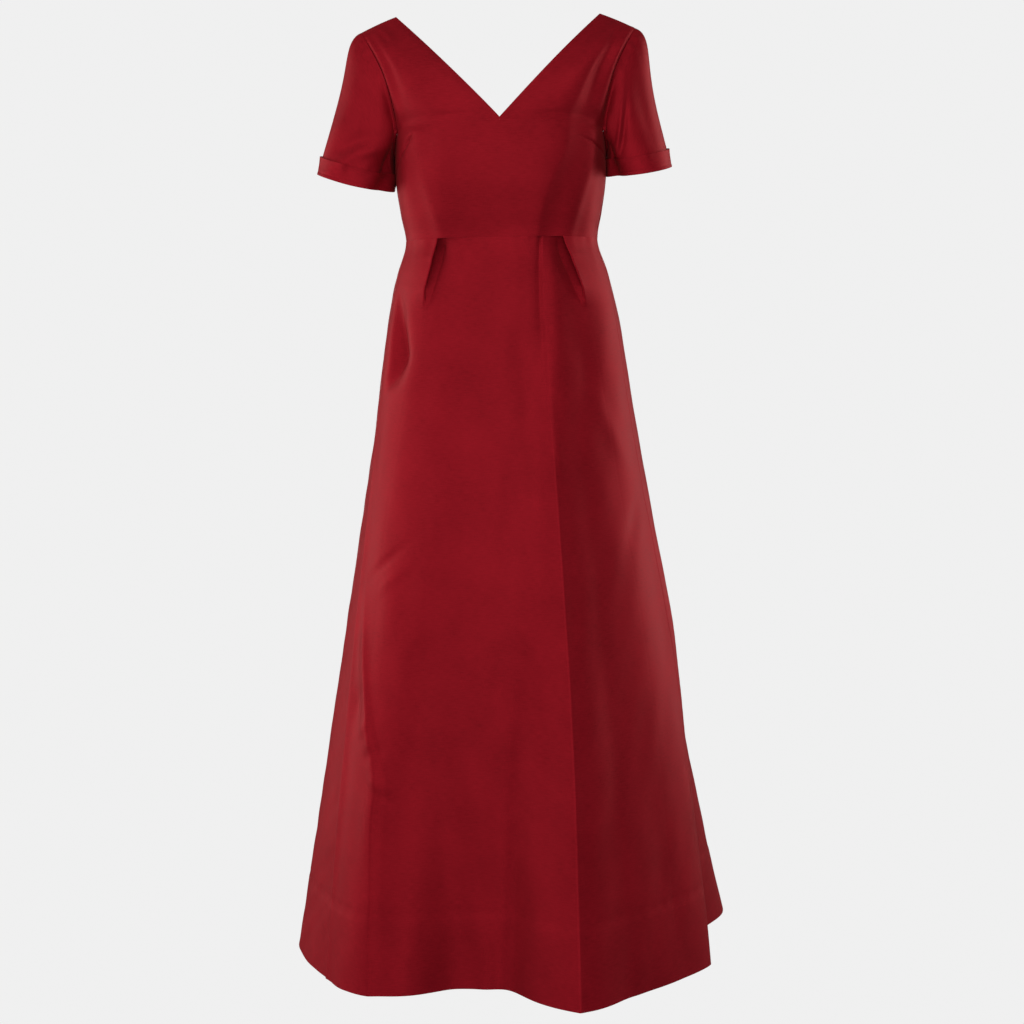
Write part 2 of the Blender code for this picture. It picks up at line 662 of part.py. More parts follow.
def make_slider():
    """The slider's plate on the seam, with two ears and the pin between them."""
    pin = pin_centre()
    face = pin[1] - EYE_RADIUS - SEAM_GAP
    width, thick, height = SLIDER
    ear_wide, ear_out, ear_tall = EAR
    top = pin[2] + 0.0030
    mesh = bpy.data.meshes.new("zip_slider")
    shape = bmesh.new()
    box(shape, [-width / 2, face - thick, top - height], [width / 2, face, top])
    shape.to_mesh(mesh)
    shape.free()
    slider = finish("zip_slider", mesh, ZIP_METAL, 0.35, 0.8)
    for side in (-1, 1):
        inside = side * (TAB[0] / 2 + SEAM_GAP)
        outside = inside + side * ear_wide
        low = [min(inside, outside), face - thick / 2, pin[2] - ear_tall / 2]
        high = [max(inside, outside), face + ear_out, pin[2] + ear_tall / 2]
        name = "ear_left" if side > 0 else "ear_right"
        combine(slider, "UNION", helper(name, lambda s, low=low, high=high: box(s, low, high)))
    across = 2 * (TAB[0] / 2 + SEAM_GAP + ear_wide / 2)
    combine(slider, "UNION", helper("pin", lambda s: rod(s, pin, PIN_RADIUS, across)))


def make_pull_tab():
    """The pull tab: an eye round the pin and a plate that widens to its tip."""
    pin = pin_centre()
    width, thick, length = TAB
    mesh = bpy.data.meshes.new("zip_pull_tab")
    shape = bmesh.new()
    low = [-width / 2, -thick / 2, -length]
    box(shape, low, [width / 2, thick / 2, -EYE_HOLE - 0.0002])
    for vertex in shape.verts:
        if vertex.co.z < -length / 2:
            vertex.co.x *= TAB_TIP_WIDTH / width
    for vertex in shape.verts:
        vertex.co = np.array(vertex.co) + pin
    shape.to_mesh(mesh)
    shape.free()
    tab = finish("zip_pull_tab", mesh, ZIP_METAL, 0.35, 0.8)
    combine(tab, "UNION", helper("eye", lambda s: rod(s, pin, EYE_RADIUS, width)))
    combine(tab, "DIFFERENCE", helper("eye_hole", lambda s: rod(s, pin, EYE_HOLE, 2 * width)))


# ---------------------------------------------------------------- the gown

def make_pair(name, left_walls, right_walls, colour, closed=False):
    """A piece on the wearer's left and its fellow on the right, both given on the left."""
    make_cloth(name + "_left", *left_walls, colour, closed)
    make_cloth(name + "_right", *(mirrored(wall) for wall in right_walls), colour, closed)


def main():
    for thing in list(bpy.data.objects):
        bpy.data.objects.remove(thing)
    make_skirt_front()
    make_skirt_back("skirt_back_left", lambda d: line_azimuth(RIGHT_SEAM, d), lambda d: 180.0, 13)
    make_skirt_back("skirt_back_right", lambda d: 180.0,
                    lambda d: 360 + line_azimuth(LEFT_SEAM, d), 11)
    make_front_bodice()
    make_pair("yoke_front", front_yoke(), front_yoke(), RED)
    make_pair("bodice_back", back_bodice(1), back_bodice(-1), RED)
    make_pair("sleeve", sleeve("left"), sleeve("right"), RED, closed=True)
    make_pair("cuff", cuff("left"), cuff("right"), RED, closed=True)
    make_zip_tape()
    make_slider()
    make_pull_tab()


main()
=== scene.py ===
# %% [markdown]
# # A floor-length evening gown in stiff silk
# The gown has a V neck, two front yokes over a plain lower bodice, short sleeves with turned-up
# cuffs, a raised waist and a long A-line skirt with two knife pleats. It is filled out as when worn,
# with nobody in it. Every cloth piece is a surface worked out from rings round the body, so the
# pieces meet at their seams because they share the same formulas.

import bpy
import numpy as np
from mathutils import Matrix


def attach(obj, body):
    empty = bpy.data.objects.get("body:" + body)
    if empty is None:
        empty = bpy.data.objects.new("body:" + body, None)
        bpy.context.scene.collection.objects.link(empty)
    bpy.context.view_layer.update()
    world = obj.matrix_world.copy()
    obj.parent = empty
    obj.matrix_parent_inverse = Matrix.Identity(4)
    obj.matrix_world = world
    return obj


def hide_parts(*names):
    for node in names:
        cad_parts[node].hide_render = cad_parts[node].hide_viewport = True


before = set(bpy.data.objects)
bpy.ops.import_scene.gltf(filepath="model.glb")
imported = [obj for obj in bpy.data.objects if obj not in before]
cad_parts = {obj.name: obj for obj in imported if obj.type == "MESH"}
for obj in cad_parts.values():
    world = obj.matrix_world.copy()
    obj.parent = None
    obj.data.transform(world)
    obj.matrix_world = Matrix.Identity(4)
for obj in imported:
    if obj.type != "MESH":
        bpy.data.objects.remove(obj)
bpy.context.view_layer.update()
print("solids in the frame:", len(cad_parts))

# %% [markdown]
# ## Sizes
# Heights are drops below the shoulder line, in metres. Directions round the body are azimuths in
# degrees: 0 is straight ahead, 90 the wearer's left side (+X) and 180 the centre back. A dress
# cutter works the same way, from a few girths, the drops between them, and the lines of the seams.
# In the skirt's tables left and right are as seen from the front, and pieces are named by the
# wearer's own left and right, as a cutter names them.

# %% Sizes of the gown
CLOTH = 0.0012
SEAM_GAP = 0.00003
LAYER_GAP = 0.0006
BUST_SEAM, UNDERARM, WAIST, HEM = 0.166, 0.205, 0.329, 1.405
HEM_STITCH = 1.291
NECK_POINT = np.array([0.150, 0.000, 0.000])
SHOULDER_POINT = np.array([0.203, 0.004, -0.022])
FRONT_V_DROP, BACK_V_DROP, ZIP_END = 0.1615, 0.176, 0.520
RING_POWER, FOLD_GROWTH = 2.25, 1.35

RINGS = np.array([
    # drop, then the ring's reach to the side, to the front and to the back
    (0.140, 0.1560, 0.1090, 0.0980),
    (0.166, 0.1555, 0.1180, 0.0990),
    (0.200, 0.1560, 0.1240, 0.0990),
    (0.245, 0.1555, 0.1210, 0.0970),
    (0.290, 0.1490, 0.1120, 0.0930),
    (0.329, 0.1425, 0.1040, 0.0900),
    (0.380, 0.1570, 0.1130, 0.1050),
    (0.450, 0.1725, 0.1250, 0.1220),
    (0.560, 0.1890, 0.1420, 0.1420),
    (0.900, 0.2470, 0.1960, 0.2050),
    (1.405, 0.3340, 0.2620, 0.3050),
])
FOLDS = np.array([
    # a crest's or trough's azimuth at the waist and at the hem, its distance from the gown's
    # axis at the hem, and the share of the skirt's length at which it begins
    (-95.0, -95.0, 0.336, 0.00),
    (-84.0, -67.0, 0.309, 0.00),
    (-54.0, -47.0, 0.303, 0.10),
    (-42.0, -35.5, 0.2664, 0.35),
    (-27.0, -25.4, 0.2136, 0.35),
    (-10.0, -12.4, 0.2007, 0.35),
    (8.0, -0.8, 0.2080, 0.30),
    (20.0, 8.2, 0.2597, 0.10),
    (30.0, 17.0, 0.2985, 0.00),
    (42.0, 36.2, 0.2876, 0.00),
    (60.0, 55.2, 0.2924, 0.00),
    (76.0, 70.0, 0.3035, 0.00),
    (87.0, 87.0, 0.2770, 0.50),
    (99.0, 101.0, 0.3045, 0.50),
    (111.0, 112.0, 0.3640, 0.30),
    (124.0, 124.0, 0.3920, 0.10),
    (146.0, 146.0, 0.3180, 0.25),
    (163.0, 163.0, 0.3380, 0.10),
    (180.0, 180.0, 0.3080, 0.10),
    (197.0, 197.0, 0.3400, 0.10),
    (218.0, 218.0, 0.3020, 0.25),
    (242.0, 242.0, 0.3540, 0.10),
])
SKIRT_LINES = np.array([
    # drop, then the azimuths of: left seam, left pleat, ridge, right pleat, right seam
    (0.329, -86.0, -47.0, 29.5, 45.0, 80.0),
    (0.400, -86.0, -49.4, 26.2, 50.9, 77.5),
    (0.450, -85.0, -51.4, 24.8, 55.2, 76.5),
    (0.600, -81.0, -58.0, 23.6, 58.5, 77.0),
    (0.800, -72.5, -59.0, 22.2, 60.0, 78.0),
    (1.000, -68.6, -56.0, 20.8, 60.0, 78.0),
    (1.200, -65.5, -49.0, 19.0, 58.0, 76.0),
    (1.405, -63.5, -46.0, 17.0, 56.0, 70.0),
])
LEFT_SEAM, LEFT_PLEAT, RIDGE, RIGHT_PLEAT, RIGHT_SEAM = range(1, 6)
print("shoulder to hem:", HEM, "m")

# %% [markdown]
# ## Curves and rings
# One curve runs through every table of sizes: cubic pieces whose slope at a point is that of its
# neighbours. The body of the gown is a squared-up ellipse at each drop, and the skirt adds its folds,
# crests and troughs that grow from nothing near the waist to their full reach at the hem.

# %% The curve through a table
def smooth(x, xs, ys):
    """Cubic pieces through (xs, ys), each end's slope taken from its two neighbours. ys may have
    columns, and then the result has them too."""
    x, xs, ys = np.asarray(x, float), np.asarray(xs, float), np.asarray(ys, float)
    slope = np.gradient(ys, xs, axis=0)
    i = np.clip(np.searchsorted(xs, x, side="right") - 1, 0, len(xs) - 2)
    step = xs[i + 1] - xs[i]
    t = (x - xs[i]) / step
    if ys.ndim > 1:
        t, step = t[..., None], step[..., None]
    blend = t * t * (3 - 2 * t)
    ends = ys[i] * (1 - blend) + ys[i + 1] * blend
    return ends + step * (slope[i] * t * (1 - t) ** 2 - slope[i + 1] * t * t * (1 - t))


def smooth_rows(x, xs, ys):
    """The same curve where every row of x has its own row of knots xs and heights ys."""
    before, after = np.diff(xs)[:, :-1], np.diff(xs)[:, 1:]
    middle = (before**2 * ys[:, 2:] + (after**2 - before**2) * ys[:, 1:-1] - after**2 * ys[:, :-2])
    middle = middle / (before * after * (before + after))
    slope = np.pad(middle, ((0, 0), (1, 1)), mode="edge")
    i = np.clip((x[:, :, None] >= xs[:, None, :]).sum(-1) - 1, 0, xs.shape[1] - 2)
    low, high = (np.take_along_axis(xs, j, 1) for j in (i, i + 1))
    step = high - low
    t = (x - low) / step
    blend = t * t * (3 - 2 * t)
    start, end = (np.take_along_axis(ys, j, 1) for j in (i, i + 1))
    rise, fall = (np.take_along_axis(slope, j, 1) for j in (i, i + 1))
    return start * (1 - blend) + end * blend + step * (rise * t * (1 - t) ** 2
                                                       - fall * t * t * (1 - t))


print("half-width of the waist:", float(smooth(WAIST, RINGS[:, 0], RINGS[:, 1])), "m")


# %% Rings, folds and lines
def ring_radius(azimuth, drop):
    """(|sin a / side|^p + |cos a / depth|^p)^(-1/p): a squared-up ellipse, p a little over 2."""
    side, front, back = np.moveaxis(smooth(drop, RINGS[:, 0], RINGS[:, 1:]), -1, 0)
    angle = np.radians(azimuth)
    across = np.abs(np.sin(angle)) / side
    ahead = np.abs(np.cos(angle)) / np.where(np.cos(angle) > 0, front, back)
    return (across**RING_POWER + ahead**RING_POWER) ** (-1 / RING_POWER)


def line_azimuth(which, drop):
    """Azimuth of one of the skirt's lines at a drop."""
    return smooth(drop, SKIRT_LINES[:, 0], SKIRT_LINES[:, which])


def fold_offset(azimuth, drop):
    """How far the folds stand out of the ring. Each crest's place slides from the waist's to the
    hem's, and its height is (share of the way from its beginning) ^ 1.35 of that at the hem."""
    waist, hem, reach, begins = FOLDS.T
    down = (drop[:, :1] - WAIST) / (HEM - WAIST)
    places = waist + (hem - waist) * down
    growth = np.clip((down - begins) / (1 - begins), 0, 1) ** FOLD_GROWTH
    heights = (reach - ring_radius(hem, np.full(hem.shape, HEM))) * growth
    places = np.concatenate([places - 360, places, places + 360], 1)
    return smooth_rows(azimuth, places, np.tile(heights, (1, 3)))


print("azimuth of the long ridge at the hem:", float(line_azimuth(RIDGE, HEM)))

# %% [markdown]
# ## Creases
# Stiff silk holds sharp creases and soft dents where thin jersey would flow. Each one is a short
# table: where it runs, how high or deep it is there and how wide. A crease is a bump whose height
# falls off with the distance from its line, faster on one side if its flanks differ.


# %% Creases along a line and dents at a spot
def bell(distance, before, after=None, power=2.0):
    """exp(-(|distance| / width)^power), with its own width on each side of the line."""
    width = np.where(distance < 0, before, before if after is None else after)
    return np.exp(-(np.abs(distance) / width) ** power)


def crease(across, drop, table, power=2.0):
    """A bump along a line. The table's rows are drop, place, height, width before, width after, and
    across is in the table's own measure. It fades out past both ends of its table."""
    table = np.array(table, float)
    place, height, before, after = np.moveaxis(smooth(np.clip(drop, table[0, 0], table[-1, 0]),
                                                      table[:, 0], table[:, 1:]), -1, 0)
    inside = (drop >= table[0, 0]) & (drop <= table[-1, 0])
    return height * inside * bell(across - place, before, after, power)


def dent(across, drop, place, at_drop, height, wide, tall, lean=0.0):
    """A round bump or dent at one spot, leaning by so much across for each metre of drop:
    height * exp(-(distance across / wide)^2 - (distance down / tall)^2)."""
    shift = across - place - lean * (drop - at_drop)
    return height * np.exp(-((shift / wide) ** 2) - ((drop - at_drop) / tall) ** 2)


def relief(across, drop, creases=(), dents=()):
    """The sum of a list of creases, each a power and a table, and of a list of dents."""
    total = np.zeros(np.broadcast(across, drop).shape)
    for power, table in creases:
        total = total + crease(across, drop, table, power)
    for spot in dents:
        total = total + dent(across, drop, *spot)
    return total


def ripples(u, v, seed, height, wide, tall):
    """Soft unevenness: the mean of seven waves of random direction and phase, each about so wide
    and so tall, in metres."""
    rng = np.random.default_rng(seed)
    total = np.zeros(np.broadcast(u, v).shape)
    for _ in range(7):
        across, along, phase = rng.uniform(0.5, 1.5), rng.uniform(-1.3, 1.3), rng.uniform(0, 6.28)
        total = total + np.sin(6.283 * (across * u / wide + along * v / tall) + phase)
    return height * total / 3


print("a crease's height one width away:", round(float(bell(np.array(1.0), 1.0)), 2))

# %% The skirt's creases: rows are drop, azimuth, height, and widths in degrees on either side
SKIRT_CREASES = (
    # the long ridge, broad on its left flank and steep on its right
    (1.3, ((0.52, 24.0, 0.0000, 6.0, 3.0), (0.62, 23.4, 0.0022, 6.5, 3.0),
           (0.80, 22.2, 0.0042, 6.5, 2.8), (1.00, 20.8, 0.0054, 6.0, 2.6),
           (1.20, 19.0, 0.0060, 5.0, 2.4), (1.41, 17.0, 0.0060, 4.5, 2.4))),
    # the tuck's hollow beside it, under the waist, and the soft roll on the hollow's other side
    (1.5, ((0.329, 29.3, -0.0030, 2.6, 0.9), (0.37, 27.0, -0.0034, 3.2, 0.8),
           (0.43, 24.9, -0.0032, 3.6, 0.8), (0.50, 24.0, -0.0028, 3.8, 0.9),
           (0.57, 23.6, -0.0016, 4.0, 1.0), (0.66, 23.0, 0.0000, 4.0, 1.0))),
    (2.0, ((0.329, 37.0, 0.0006, 5.0, 6.0), (0.36, 35.5, 0.0034, 6.0, 7.0),
           (0.44, 33.0, 0.0040, 6.5, 8.0), (0.52, 31.5, 0.0022, 6.5, 8.0),
           (0.60, 30.0, 0.0000, 6.0, 8.0))),
    # the left side seam stands up, with a valley behind it
    (1.6, ((0.60, -81.0, 0.0000, 2.0, 2.6), (0.70, -75.6, 0.0022, 1.6, 2.6),
           (0.80, -72.3, 0.0036, 1.4, 2.8), (1.00, -68.4, 0.0050, 1.2, 2.8),
           (1.20, -65.3, 0.0050, 1.1, 2.6), (1.41, -63.3, 0.0026, 1.2, 2.4))),
    (2.0, ((0.62, -86.0, 0.0000, 3.0, 2.6), (0.80, -77.2, -0.0066, 3.4, 2.6),
           (1.00, -73.2, -0.0104, 3.6, 2.6), (1.20, -70.2, -0.0100, 3.6, 2.6),
           (1.41, -68.0, -0.0040, 3.6, 2.4))),
    # the crest inside the left seam, which starts from it above the knee and bends twice
    (1.5, ((0.80, -68.0, 0.0000, 4.0, 2.6), (0.88, -64.0, 0.0028, 4.0, 2.2),
           (0.94, -59.5, 0.0052, 4.2, 1.8), (1.00, -54.8, 0.0068, 4.6, 1.6),
           (1.05, -51.5, 0.0078, 4.8, 1.4), (1.10, -47.4, 0.0084, 5.2, 1.3),
           (1.15, -47.4, 0.0080, 5.2, 1.4), (1.22, -46.8, 0.0074, 5.0, 1.6),
           (1.30, -45.8, 0.0066, 4.8, 1.8), (1.41, -44.2, 0.0050, 4.4, 2.0))),
    # the deep hollow at the wearer's right hip
    (2.0, ((0.395, -72.0, 0.0000, 3.6, 8.0), (0.44, -70.0, -0.0100, 3.4, 7.0),
           (0.47, -68.5, -0.0180, 3.4, 7.6), (0.50, -67.0, -0.0215, 3.6, 8.4),
           (0.523, -68.0, -0.0140, 3.8, 8.4), (0.550, -71.0, 0.0000, 4.0, 8.4))),
    # the edge of the front fold on the right
    (1.3, ((0.70, 84.0, 0.0000, 14.0, 3.0), (0.84, 83.0, 0.0040, 14.0, 2.0),
           (0.95, 81.5, 0.0068, 14.0, 1.5), (1.10, 77.4, 0.0086, 14.0, 1.3),
           (1.28, 73.6, 0.0086, 13.0, 1.3), (1.41, 69.6, 0.0072, 12.0, 1.3))),
    # faint long waves on the middle of the front
    (2.0, ((0.45, -8.0, 0.0000, 8.0, 8.0), (0.75, -6.0, 0.0016, 7.0, 9.0),
           (1.10, -4.0, -0.0010, 7.0, 9.0), (1.41, -3.0, -0.0016, 7.0, 8.0))),
    (2.0, ((0.80, -24.0, 0.0000, 7.0, 7.0), (1.10, -22.0, 0.0022, 7.0, 7.0),
           (1.41, -19.0, 0.0026, 7.0, 7.0))),
)
SKIRT_DENTS = (
    # azimuth, drop, height, spread in degrees, spread in drop, lean
    (-55.5, 1.032, 0.0022, 2.4, 0.010, -160.0),
    (-50.0, 1.066, -0.0026, 2.6, 0.010, -160.0),
    (-47.0, 1.106, 0.0022, 2.2, 0.010, 150.0),
    (-44.6, 1.126, -0.0022, 2.4, 0.010, 150.0),
    (-62.0, 1.000, -0.0030, 3.0, 0.030, 0.0),
    (-54.0, 0.791, -0.0032, 2.8, 0.024, -345.0),
    (-50.0, 0.815, 0.0020, 3.2, 0.022, -300.0),
    (-1.0, 0.915, -0.0011, 4.5, 0.006, 20.0),
    (5.0, 0.925, -0.0010, 3.5, 0.005, -30.0),
    (3.0, 0.985, -0.0010, 2.2, 0.012, 40.0),
    (6.0, 1.050, -0.0010, 2.0, 0.014, 30.0),
    (26.0, 0.640, 0.0012, 2.4, 0.030, 0.0),
    (47.0, 0.520, -0.0030, 6.0, 0.050, 0.0),
    (56.0, 0.600, 0.0022, 6.0, 0.050, 120.0),
    (66.0, 0.740, -0.0030, 5.0, 0.030, -160.0),
    (12.0, 0.560, -0.0022, 9.0, 0.080, 0.0),
    (-30.0, 0.760, 0.0016, 9.0, 0.120, 0.0),
    (40.0, 1.190, 0.0016, 9.0, 0.090, 0.0),
    (112.0, 0.520, -0.0070, 10.0, 0.060, 0.0),
    (200.0, 0.620, -0.0040, 12.0, 0.090, 0.0),
    (152.0, 0.900, 0.0040, 6.0, 0.050, 30.0),
    (236.0, 1.060, 0.0022, 3.6, 0.018, 90.0),
    (234.0, 1.084, -0.0022, 3.6, 0.018, 90.0),
)
PRESSED = (
    # the front is flat to a soft edge on the wearer's left, and falls away past it
    (1.4, ((0.120, 47.0, 0.0030, 22.0, 8.0), (0.166, 44.0, 0.0044, 22.0, 7.0),
           (0.209, 39.5, 0.0048, 22.0, 7.0), (0.262, 30.5, 0.0048, 20.0, 7.0),
           (0.313, 27.0, 0.0042, 18.0, 6.5), (0.332, 27.0, 0.0036, 18.0, 6.0),
           (0.380, 25.0, 0.0000, 18.0, 6.0))),
    # each flank turns from the front a little behind it
    (2.0, ((0.150, 64.0, 0.0000, 9.0, 5.0), (0.206, 59.5, 0.0030, 9.0, 5.0),
           (0.262, 53.2, 0.0044, 9.0, 5.5), (0.311, 49.5, 0.0044, 9.0, 6.0),
           (0.332, 48.5, 0.0032, 9.0, 6.0), (0.370, 48.0, 0.0000, 9.0, 6.0))),
    (2.0, ((0.150, -58.0, 0.0000, 5.0, 16.0), (0.203, -53.0, 0.0022, 6.0, 16.0),
           (0.262, -46.0, 0.0042, 7.0, 16.0), (0.311, -43.0, 0.0046, 7.0, 16.0),
           (0.332, -42.5, 0.0036, 7.0, 16.0), (0.370, -42.0, 0.0000, 7.0, 16.0))),
)


def pressed(azimuth, drop):
    """How the stiff cloth of the front stands off the ring: three broad edges, the same above and
    below both seams."""
    return relief(azimuth, drop, PRESSED)


def skirt_height(azimuth, drop):
    """Everything that stands out of the folded ring: creases, dents, ripples, the dip at the waist
    seam and the line of stitches above the hem. The ripples run on the arc, azimuth * radius."""
    total = pressed(azimuth, drop) + relief(azimuth, drop, SKIRT_CREASES)
    turned = np.where(azimuth < -110, azimuth + 360, azimuth)
    total = total + relief(turned, drop, dents=SKIRT_DENTS)
    arc = np.radians(azimuth) * (0.14 + 0.17 * (drop - WAIST))
    total = total + ripples(arc, drop, 5, 0.0006, 0.16, 0.50)
    total = total + ripples(arc, drop, 8, 0.00035, 0.06, 0.16)
    seam = np.exp(-(drop - WAIST) / 0.0030)
    pucker = np.exp(-(drop - WAIST) / 0.020) * ripples(arc, drop, 3, 0.0004, 0.030, 0.30)
    stitched = bell(drop - HEM_STITCH, 0.0022) * (1 + 0.5 * np.sin(arc / 0.0042))
    below = np.clip((drop - HEM_STITCH) / 0.003, 0, 1)
    return total + pucker - 0.0001 * seam - 0.0010 * stitched + 0.0003 * below


print("creases:", len(SKIRT_CREASES), "dents:", len(SKIRT_DENTS))


# %% Points and outward directions of a ringed surface
def unit(vectors):
    """The same directions at length 1."""
    return vectors / np.linalg.norm(vectors, axis=-1, keepdims=True)


def ringed(radius_of, azimuth, drop):
    """Points (r sin a, -r cos a, -drop) and the level directions at right angles to the section."""
    azimuth, drop = np.broadcast_arrays(azimuth, drop)

    def place(angles):
        turn = np.radians(angles)
        flat = np.stack([np.sin(turn), -np.cos(turn)], -1)
        return flat * radius_of(angles, drop)[..., None]

    along = place(azimuth + 0.4) - place(azimuth - 0.4)
    outward = unit(np.stack([along[..., 1], -along[..., 0], np.zeros(azimuth.shape)], -1))
    return np.concatenate([place(azimuth), -drop[..., None]], -1), outward


RIDGE_HEIGHT, RIDGE_WIDTH, RIDGE_START, RIDGE_FULL = 0.0045, 0.016, 0.46, 0.60


def skirt_radius(azimuth, drop):
    """Ring, folds, relief and the raised long ridge, height * exp(-|distance| / width), which
    grows from its start to its full height."""
    azimuth, drop = np.broadcast_arrays(azimuth, drop)
    radius = ring_radius(azimuth, drop) + fold_offset(azimuth, drop)
    along = np.radians(azimuth - line_azimuth(RIDGE, drop)) * radius
    down = np.clip((drop - RIDGE_START) / (RIDGE_FULL - RIDGE_START), 0, 1)
    ridge = RIDGE_HEIGHT * down * bell(along, RIDGE_WIDTH, power=1.0)
    return radius + ridge + skirt_height(azimuth, drop)


def gap_angle(azimuth, drop, side):
    """An azimuth moved by half a seam gap, to the side given as +1 or -1."""
    return azimuth + side * np.degrees(SEAM_GAP / 2 / ring_radius(azimuth, drop))


def between(start, end, count, crowd=0.0):
    """Columns from start to end, which are columns of angles. crowd draws them to both ends."""
    t = np.linspace(0, 1, count)
    t = t - crowd * np.sin(2 * np.pi * t) / (2 * np.pi)
    return start + (end - start) * t


print("reach of the long ridge at the hem:",
      round(float(skirt_radius(np.array([[17.2]]), np.array([[HEM]]))[0, 0]), 3), "m")

# %% [markdown]
# ## From grids to cloth
# Every piece is made as a grid of points on its outer face and another on its inner face, joined
# round the rim, so each is a thin closed wall like the real cloth. A UV map holds the lengths along
# the cloth in metres, so the weave has its real size on every piece and follows its grain.


# %% A closed wall between two grids
def rolled(outer, outward, sides, depth=0.0004, width=0.0016):
    """Lowers the points near the named sides of a grid, because a sewn edge turns inwards:
    depth * exp(-(distance to the edge / width)^2)."""
    down = np.zeros(outer.shape[:2])
    for axis, first, last in ((0, "top", "bottom"), (1, "start", "end")):
        step = np.linalg.norm(np.diff(outer, axis=axis), axis=-1)
        zero = np.zeros_like(np.take(step, [0], axis))
        along = np.concatenate([zero, np.cumsum(step, axis)], axis)
        for name, distance in ((first, along), (last, np.take(along, [-1], axis) - along)):
            if name in sides:
                down = np.maximum(down, np.exp(-((distance / width) ** 2)))
    return outer - outward * (depth * down)[..., None]


def grain(outer, level):
    """UV lengths in metres: along the rows, and down the columns or, on level cloth, by height."""
    across = np.linalg.norm(np.diff(outer, axis=1), axis=-1)
    across = np.pad(np.cumsum(across, 1), ((0, 0), (1, 0)))
    across = across - across[:, across.shape[1] // 2][:, None]
    along = np.linalg.norm(np.diff(outer, axis=0), axis=-1)
    along = np.pad(np.cumsum(along, 0), ((1, 0), (0, 0)))
    return np.stack([across, -outer[..., 2] if level else along], -1)


def cloth_area(outer):
    """Area of a grid of points in square metres, from the two triangles of each of its cells."""
    a, b = outer[:-1, 1:] - outer[:-1, :-1], outer[1:, :-1] - outer[:-1, :-1]
    c, d = outer[:-1, 1:] - outer[1:, 1:], outer[1:, :-1] - outer[1:, 1:]
    halves = np.linalg.norm(np.cross(a, b), axis=-1) + np.linalg.norm(np.cross(c, d), axis=-1)
    return float(halves.sum() / 2)


def wall_faces(rows, columns, closed):
    """Four-cornered faces of both grids and of the rim between them, and how many are the rim's.
    A closed wall joins round, so it has a rim at its first and last row only."""
    index = np.arange(rows * columns).reshape(rows, columns)
    if closed:
        index = np.concatenate([index, index[:, :1]], 1)
    under = index + rows * columns

    def quads(grid):
        corners = [grid[:-1, :-1], grid[:-1, 1:], grid[1:, 1:], grid[1:, :-1]]
        return np.stack(corners, -1).reshape(-1, 4)

    def strip(edge, other):
        return np.stack([edge[:-1], edge[1:], other[1:], other[:-1]], -1)

    faces = [quads(index), quads(under)[:, ::-1],
             strip(index[0], under[0])[:, ::-1], strip(index[-1], under[-1])]
    if not closed:
        faces += [strip(index[:, 0], under[:, 0]), strip(index[:, -1], under[:, -1])[:, ::-1]]
    return np.concatenate(faces), sum(len(part) for part in faces[2:])


def facing_out(points, faces):
    """The faces, turned over if the solid's signed volume, the sum of (a x b) . c, is negative."""
    first, second, third, fourth = (points[faces[:, i]] for i in range(4))
    signed = np.sum(np.cross(first, second) * third) + np.sum(np.cross(first, third) * fourth)
    return faces[:, ::-1] if signed < 0 else faces


def shade(mesh, rim):
    """Smooth faces, and a flat rim with sharp edges, so that each face keeps its own shading
    right up to a seam."""
    smooth_faces = np.ones(len(mesh.polygons), bool)
    smooth_faces[-rim:] = False
    mesh.polygons.foreach_set("use_smooth", smooth_faces)
    edges = np.empty(len(mesh.loops), int)
    mesh.loops.foreach_get("edge_index", edges)
    sharp = np.zeros(len(mesh.edges), bool)
    sharp[edges[-4 * rim:]] = True
    mesh.attributes.new("sharp_edge", "BOOLEAN", "EDGE").data.foreach_set("value", sharp)


def make_cloth(name, outer, inner, closed=False, level=False):
    """A thin closed wall: a mesh of both faces and the rim between them, with its weave's UVs."""
    faces, rim = wall_faces(*outer.shape[:2], closed)
    points = np.concatenate([outer.reshape(-1, 3), inner.reshape(-1, 3)])
    faces = facing_out(points, faces)
    mesh = bpy.data.meshes.new(name)
    mesh.from_pydata(points, [], faces)
    shade(mesh, rim)
    lengths = grain(outer, level).reshape(-1, 2)
    lengths = np.concatenate([lengths, lengths])
    weave = mesh.uv_layers.new(name="weave")
    weave.data.foreach_set("uv", lengths[faces.ravel()].ravel())
    mesh.validate()
    piece = bpy.data.objects.new(name, mesh)
    bpy.context.scene.collection.objects.link(piece)
    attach(piece, "gown")
    print(name, "triangles:", 2 * len(faces), "area:", round(cloth_area(outer), 4), "m2")
    return piece


def mirrored(grid):
    """The same grid on the wearer's other side."""
    return grid * np.array([-1.0, 1.0, 1.0])


PIECES = {}
square = np.stack([*np.meshgrid([0.0, 1.0], [0.0, 1.0]), np.zeros((2, 2))], -1)
print("area of a metre square, for a check:", cloth_area(square), "m2")

# %% [markdown]
# ## The front of the skirt
# The panel is one piece. At the waist it is turned under twice: each knife pleat folds the cloth to
# the side and back, three layers thick, and is sewn flat below its edge, where the fullness is let
# go. So the grid's columns follow the real section: side cloth, round the edge, back, round again
# and out beneath. Below the end of the pleat the same columns lie flat.

# %% The pleats
PLEAT_DEPTH, PLEAT_DIP, PLEAT_LIFT = 0.022, 0.0180, 0.0090
PLEAT_OPENS, PLEAT_END = 0.402, 0.4265
PLEAT_RADIUS = (CLOTH + LAYER_GAP) / 2
LIFT_WIDTH, DIP_WIDTH = 0.028, 0.014


def fading(drop):
    """1 down to where the pleats open, and 0 just past their end."""
    return np.clip((PLEAT_END + 0.006 - drop) / 0.030, 0, 1)


